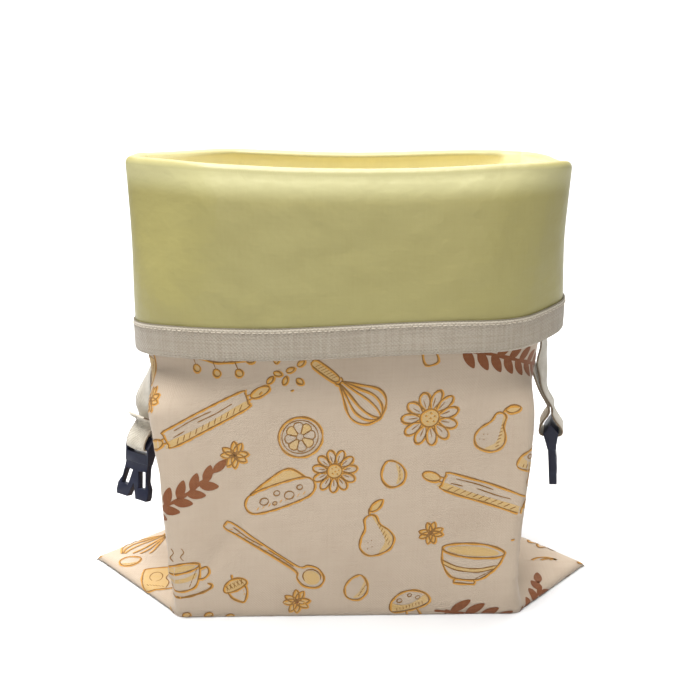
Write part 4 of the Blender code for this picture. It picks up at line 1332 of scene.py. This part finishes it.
# Where a plug hangs: the top of its bar, its foot swung out, turned about the vertical, and leaning.
Hang = namedtuple("Hang", "x y z turn lean tilt")
LEFT_PLUG = Hang(-115.2, -3.0, 85.4, 152.4, 2.4, 16.5)
RIGHT_PLUG = Hang(124.4, -1.5, 95.4, 76.0, -6.6, 0.0)

# The webbing's way round the bar, in the plug's frame: across the bar's thickness, and up. It comes
# down on one side of the bar, crosses under it, and goes back up on the other in the same curve.
DOWN_THE_BAR = ((-0.85, 9.0), (-1.0, 5.6), (-3.0, 1.8), (-5.8, -2.8), (-6.4, -5.8), (-4.9, -7.65))
UNDER_THE_BAR = (0.0, -7.65)
ROUND_THE_BAR = (*DOWN_THE_BAR, UNDER_THE_BAR, *((-y, z) for y, z in reversed(DOWN_THE_BAR)))
LEFT_BULGE = 0.92        # the left webbing lies closer round its bar
RIGHT_BULGE = 1.0
LEFT_WRINKLE = 1.2
RIGHT_WRINKLE = 0.8
# Stations of a strap above its plug: a point of its middle line and the way its width lies.
Drop = namedtuple("Drop", "x y z turn")
LEFT_DOWN = (
    Drop(-106.5, 0, 164, 90), Drop(-106, 0, 152, 90), Drop(-106.2, 0, 138, 92),
    Drop(-108.4, -0.3, 125, 108), Drop(-111.8, -0.8, 114, 126), Drop(-113.6, -1, 103, 142),
)
LEFT_TAIL = (Drop(-116, -4.2, 97, 149), Drop(-117.6, -6.4, 100, 143))
RIGHT_DOWN = (
    Drop(116.6, 0, 173, 90), Drop(116.4, 0, 165, 88), Drop(115.6, 0, 152, 72),
    Drop(116.8, 0, 140, 64), Drop(117.2, 0, 130, 56), Drop(119, -0.5, 120, 60),
    Drop(121.3, -1, 111, 71),
)
RIGHT_TAIL = (
    Drop(118.6, -1.2, 112, 80), Drop(114.6, -1.8, 120.5, 74), Drop(112.2, -2, 130.5, 70),
    Drop(111.6, -1.6, 140.5, 76), Drop(112.2, -0.6, 152, 84), Drop(113.4, 0, 163, 90),
)


def plug_place(hang):
    return (Matrix.Translation((hang.x, hang.y, hang.z))
            @ Matrix.Rotation(math.radians(hang.lean), 4, "Y")
            @ Matrix.Rotation(math.radians(hang.turn), 4, "Z")
            @ Matrix.Rotation(math.radians(hang.tilt), 4, "X"))


def strap_stations(down, hang, tail, bulge):
    """Points of the webbing's middle line, each with the way its width lies."""
    place = plug_place(hang)
    stations = []
    for drop in down + tail:
        turn = math.radians(drop.turn)
        stations.append((Vector((drop.x, drop.y, drop.z)), Vector((math.cos(turn), math.sin(turn), 0.0))))
    round_bar = [(place @ Vector((0.0, y * bulge, z)), place.to_3x3() @ Vector((1.0, 0.0, 0.0)))
                 for y, z in ROUND_THE_BAR]
    return stations[:len(down)] + round_bar + stations[len(down):]


def webbing(name, stations, node, wrinkle):
    """A strap with rounded edges along its stations. The wrinkle is how far it buckles."""
    places = curve_through([point for point, _ in stations], WEBBING_STEP)
    half, thick = WEBBING_WIDTH / 2, WEBBING_THICKNESS / 2
    flat_side = (-half + WEBBING_EDGE, -half / 2, 0.0, half / 2, half - WEBBING_EDGE)
    section = [(-half, 0.0), *((across, -thick) for across in flat_side),
               (half, 0.0), *((across, thick) for across in reversed(flat_side))]
    mesh = bmesh.new()
    flat = mesh.loops.layers.uv.new("flat_cloth")
    loops, up = [], [0.0]
    for index, (point, share) in enumerate(places):
        before = places[max(index - 1, 0)][0]
        after = places[min(index + 1, len(places) - 1)][0]
        along = (after - before).normalized()
        low = min(int(share), len(stations) - 2)
        width = stations[low][1].lerp(stations[low + 1][1], share - low)
        normal = along.cross(width).normalized()
        side = normal.cross(along).normalized()
        if index:
            up.append(up[-1] + (point - before).length)
        buckle = wrinkle * math.sin(up[-1] / BUCKLE_LENGTHS[0]) * math.sin(up[-1] / BUCKLE_LENGTHS[1])
        loops.append([])
        for across, through in section:
            ripple = wrinkle * 0.5 * math.sin(up[-1] / RIPPLE_LENGTHS[0] + across / RIPPLE_LENGTHS[1])
            place = point + side * across + normal * (through + (buckle + ripple) * (across / half)**2)
            loops[-1].append(mesh.verts.new(place * MM))
    for row in range(len(loops) - 1):
        for index in range(len(section)):
            after = (index + 1) % len(section)
            face = mesh.faces.new((loops[row][index], loops[row][after],
                                   loops[row + 1][after], loops[row + 1][index]))
            face.smooth = True
            places_flat = ((section[index][0], up[row]), (section[after][0], up[row]),
                           (section[after][0], up[row + 1]), (section[index][0], up[row + 1]))
            for loop, place in zip(face.loops, places_flat):
                loop[flat].uv = (place[0] * MM, place[1] * MM)
    mesh.faces.new(loops[0])
    mesh.faces.new(loops[-1])
    bmesh.ops.recalc_face_normals(mesh, faces=mesh.faces)
    piece = add_piece(name, mesh, "cotton_webbing", node)
    piece.data.materials.append(twill.material)
    return piece


twill = Finish("cotton_webbing", 0.85, Sheen_Weight=0.25, Specular_IOR_Level=0.2)
across, up = twill.split_place()
ribs = (across + up * 0.8).wave(RIB_PITCH) * 0.5 + 0.5
selvedge_and_shade = abs(across).clamped(*SELVEDGE_AND_SHADE_REACH)
worn = twill.noise(twill.flat_place(), 0.12, 3.0).clamped(0.35, 0.7)
twill_tone = twill.mix(worn * 0.5 + (1 - ribs) * 0.3, WEBBING_COLOUR, WEBBING_SHADE)
# Painted shade along the edges; the bump raises the same band as a selvedge.
twill.feed("Base Color", twill.mix(selvedge_and_shade * 0.85, twill_tone, EDGE_PAINTED_SHADE))
twill.bump(ribs + selvedge_and_shade * 0.8, WEBBING_RELIEF)
left_stations = strap_stations(LEFT_DOWN, LEFT_PLUG, LEFT_TAIL, LEFT_BULGE)
right_stations = strap_stations(RIGHT_DOWN, RIGHT_PLUG, RIGHT_TAIL, RIGHT_BULGE)
webbing("strap_webbing_left", left_stations, "strap_left", LEFT_WRINKLE)
webbing("strap_webbing_right", right_stations, "strap_right", RIGHT_WRINKLE)

# ---------------------------------------------------------------- buckle plugs
# The plug is one moulding of dark plastic: a thick bar for the webbing over two springy arms with
# barbed feet. The right one is the same moulding, seen on edge.
ARM_SLOT = (5.6, -25.4)  # its middle, between two values of x and z
ARM_SLOT_REACH = (2.6, 4.6)
ARM_SLOT_WIDENED = (1.6, 1.3)
EDGE_ROUND = 0.4
PLASTIC_COLOUR = (0.010, 0.012, 0.028)
SCUFF_COLOUR = (0.024, 0.028, 0.050)
PLASTIC_RELIEF = 0.03
WELD_PLUG = 0.02
# Degrees: what counts as flat, what edge is rounded, and what edge is shaded smooth.
FLAT_ANGLE = 1.0
ROUNDED_ANGLE = 25.0
SMOOTH_ANGLE = 40.0


def move_plug(mesh, matrix):
    """Moves a mesh by a matrix that counts in millimetres."""
    mesh.transform(Matrix.Diagonal((1 / MM, 1 / MM, 1 / MM, 1.0)))
    mesh.transform(matrix)
    mesh.transform(Matrix.Diagonal((MM, MM, MM, 1.0)))


bpy.ops.object.select_all(action="DESELECT")
plug_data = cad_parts["plug_left"].data.copy()
move_plug(plug_data, plug_place(LEFT_PLUG).inverted())
plug_model = bpy.data.objects.new("plug_model", plug_data)
scene.collection.objects.link(plug_model)
bpy.context.view_layer.objects.active = plug_model
plug_model.select_set(True)
bpy.ops.object.mode_set(mode="EDIT")
bpy.ops.mesh.select_all(action="SELECT")
bpy.ops.mesh.remove_doubles(threshold=WELD_PLUG * MM)
bpy.ops.mesh.dissolve_limited(angle_limit=math.radians(FLAT_ANGLE))
bpy.ops.object.mode_set(mode="OBJECT")
for point in plug_data.vertices:
    side = math.copysign(1.0, point.co.x)
    x, z = point.co.x * side / MM - ARM_SLOT[0], point.co.z / MM - ARM_SLOT[1]
    if abs(x) < ARM_SLOT_REACH[0] and abs(z) < ARM_SLOT_REACH[1]:
        point.co.x = side * (ARM_SLOT[0] + x * ARM_SLOT_WIDENED[0]) * MM
        point.co.z = (ARM_SLOT[1] + z * ARM_SLOT_WIDENED[1]) * MM
edges = plug_model.modifiers.new("edges", "BEVEL")
edges.width = EDGE_ROUND * MM
edges.segments = 3
edges.limit_method = "ANGLE"
edges.angle_limit = math.radians(ROUNDED_ANGLE)
bpy.ops.object.modifier_apply(modifier="edges")
bpy.ops.object.shade_smooth_by_angle(angle=math.radians(SMOOTH_ANGLE))

plastic = Finish("buckle_plastic", 0.5, Specular_IOR_Level=0.3)
grain = plastic.object_noise(1400.0)
scuffs = plastic.object_noise(160.0, 4.0).clamped(0.5, 0.7)
plastic.feed("Base Color", plastic.mix(scuffs * 0.5, PLASTIC_COLOUR, SCUFF_COLOUR))
plastic.feed("Roughness", scuffs * 0.12 + grain * 0.1 + 0.4)
plastic.bump(grain + scuffs, PLASTIC_RELIEF)
for side, hang in (("left", LEFT_PLUG), ("right", RIGHT_PLUG)):
    moulding = bpy.data.objects.new("buckle_plug_" + side, plug_data.copy())
    scene.collection.objects.link(moulding)
    move_plug(moulding.data, plug_place(hang))
    moulding.data.materials.clear()
    moulding.data.materials.append(plastic.material)
    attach(moulding, "root")
    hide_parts("plug_" + side)
bpy.data.objects.remove(plug_model, do_unlink=True)
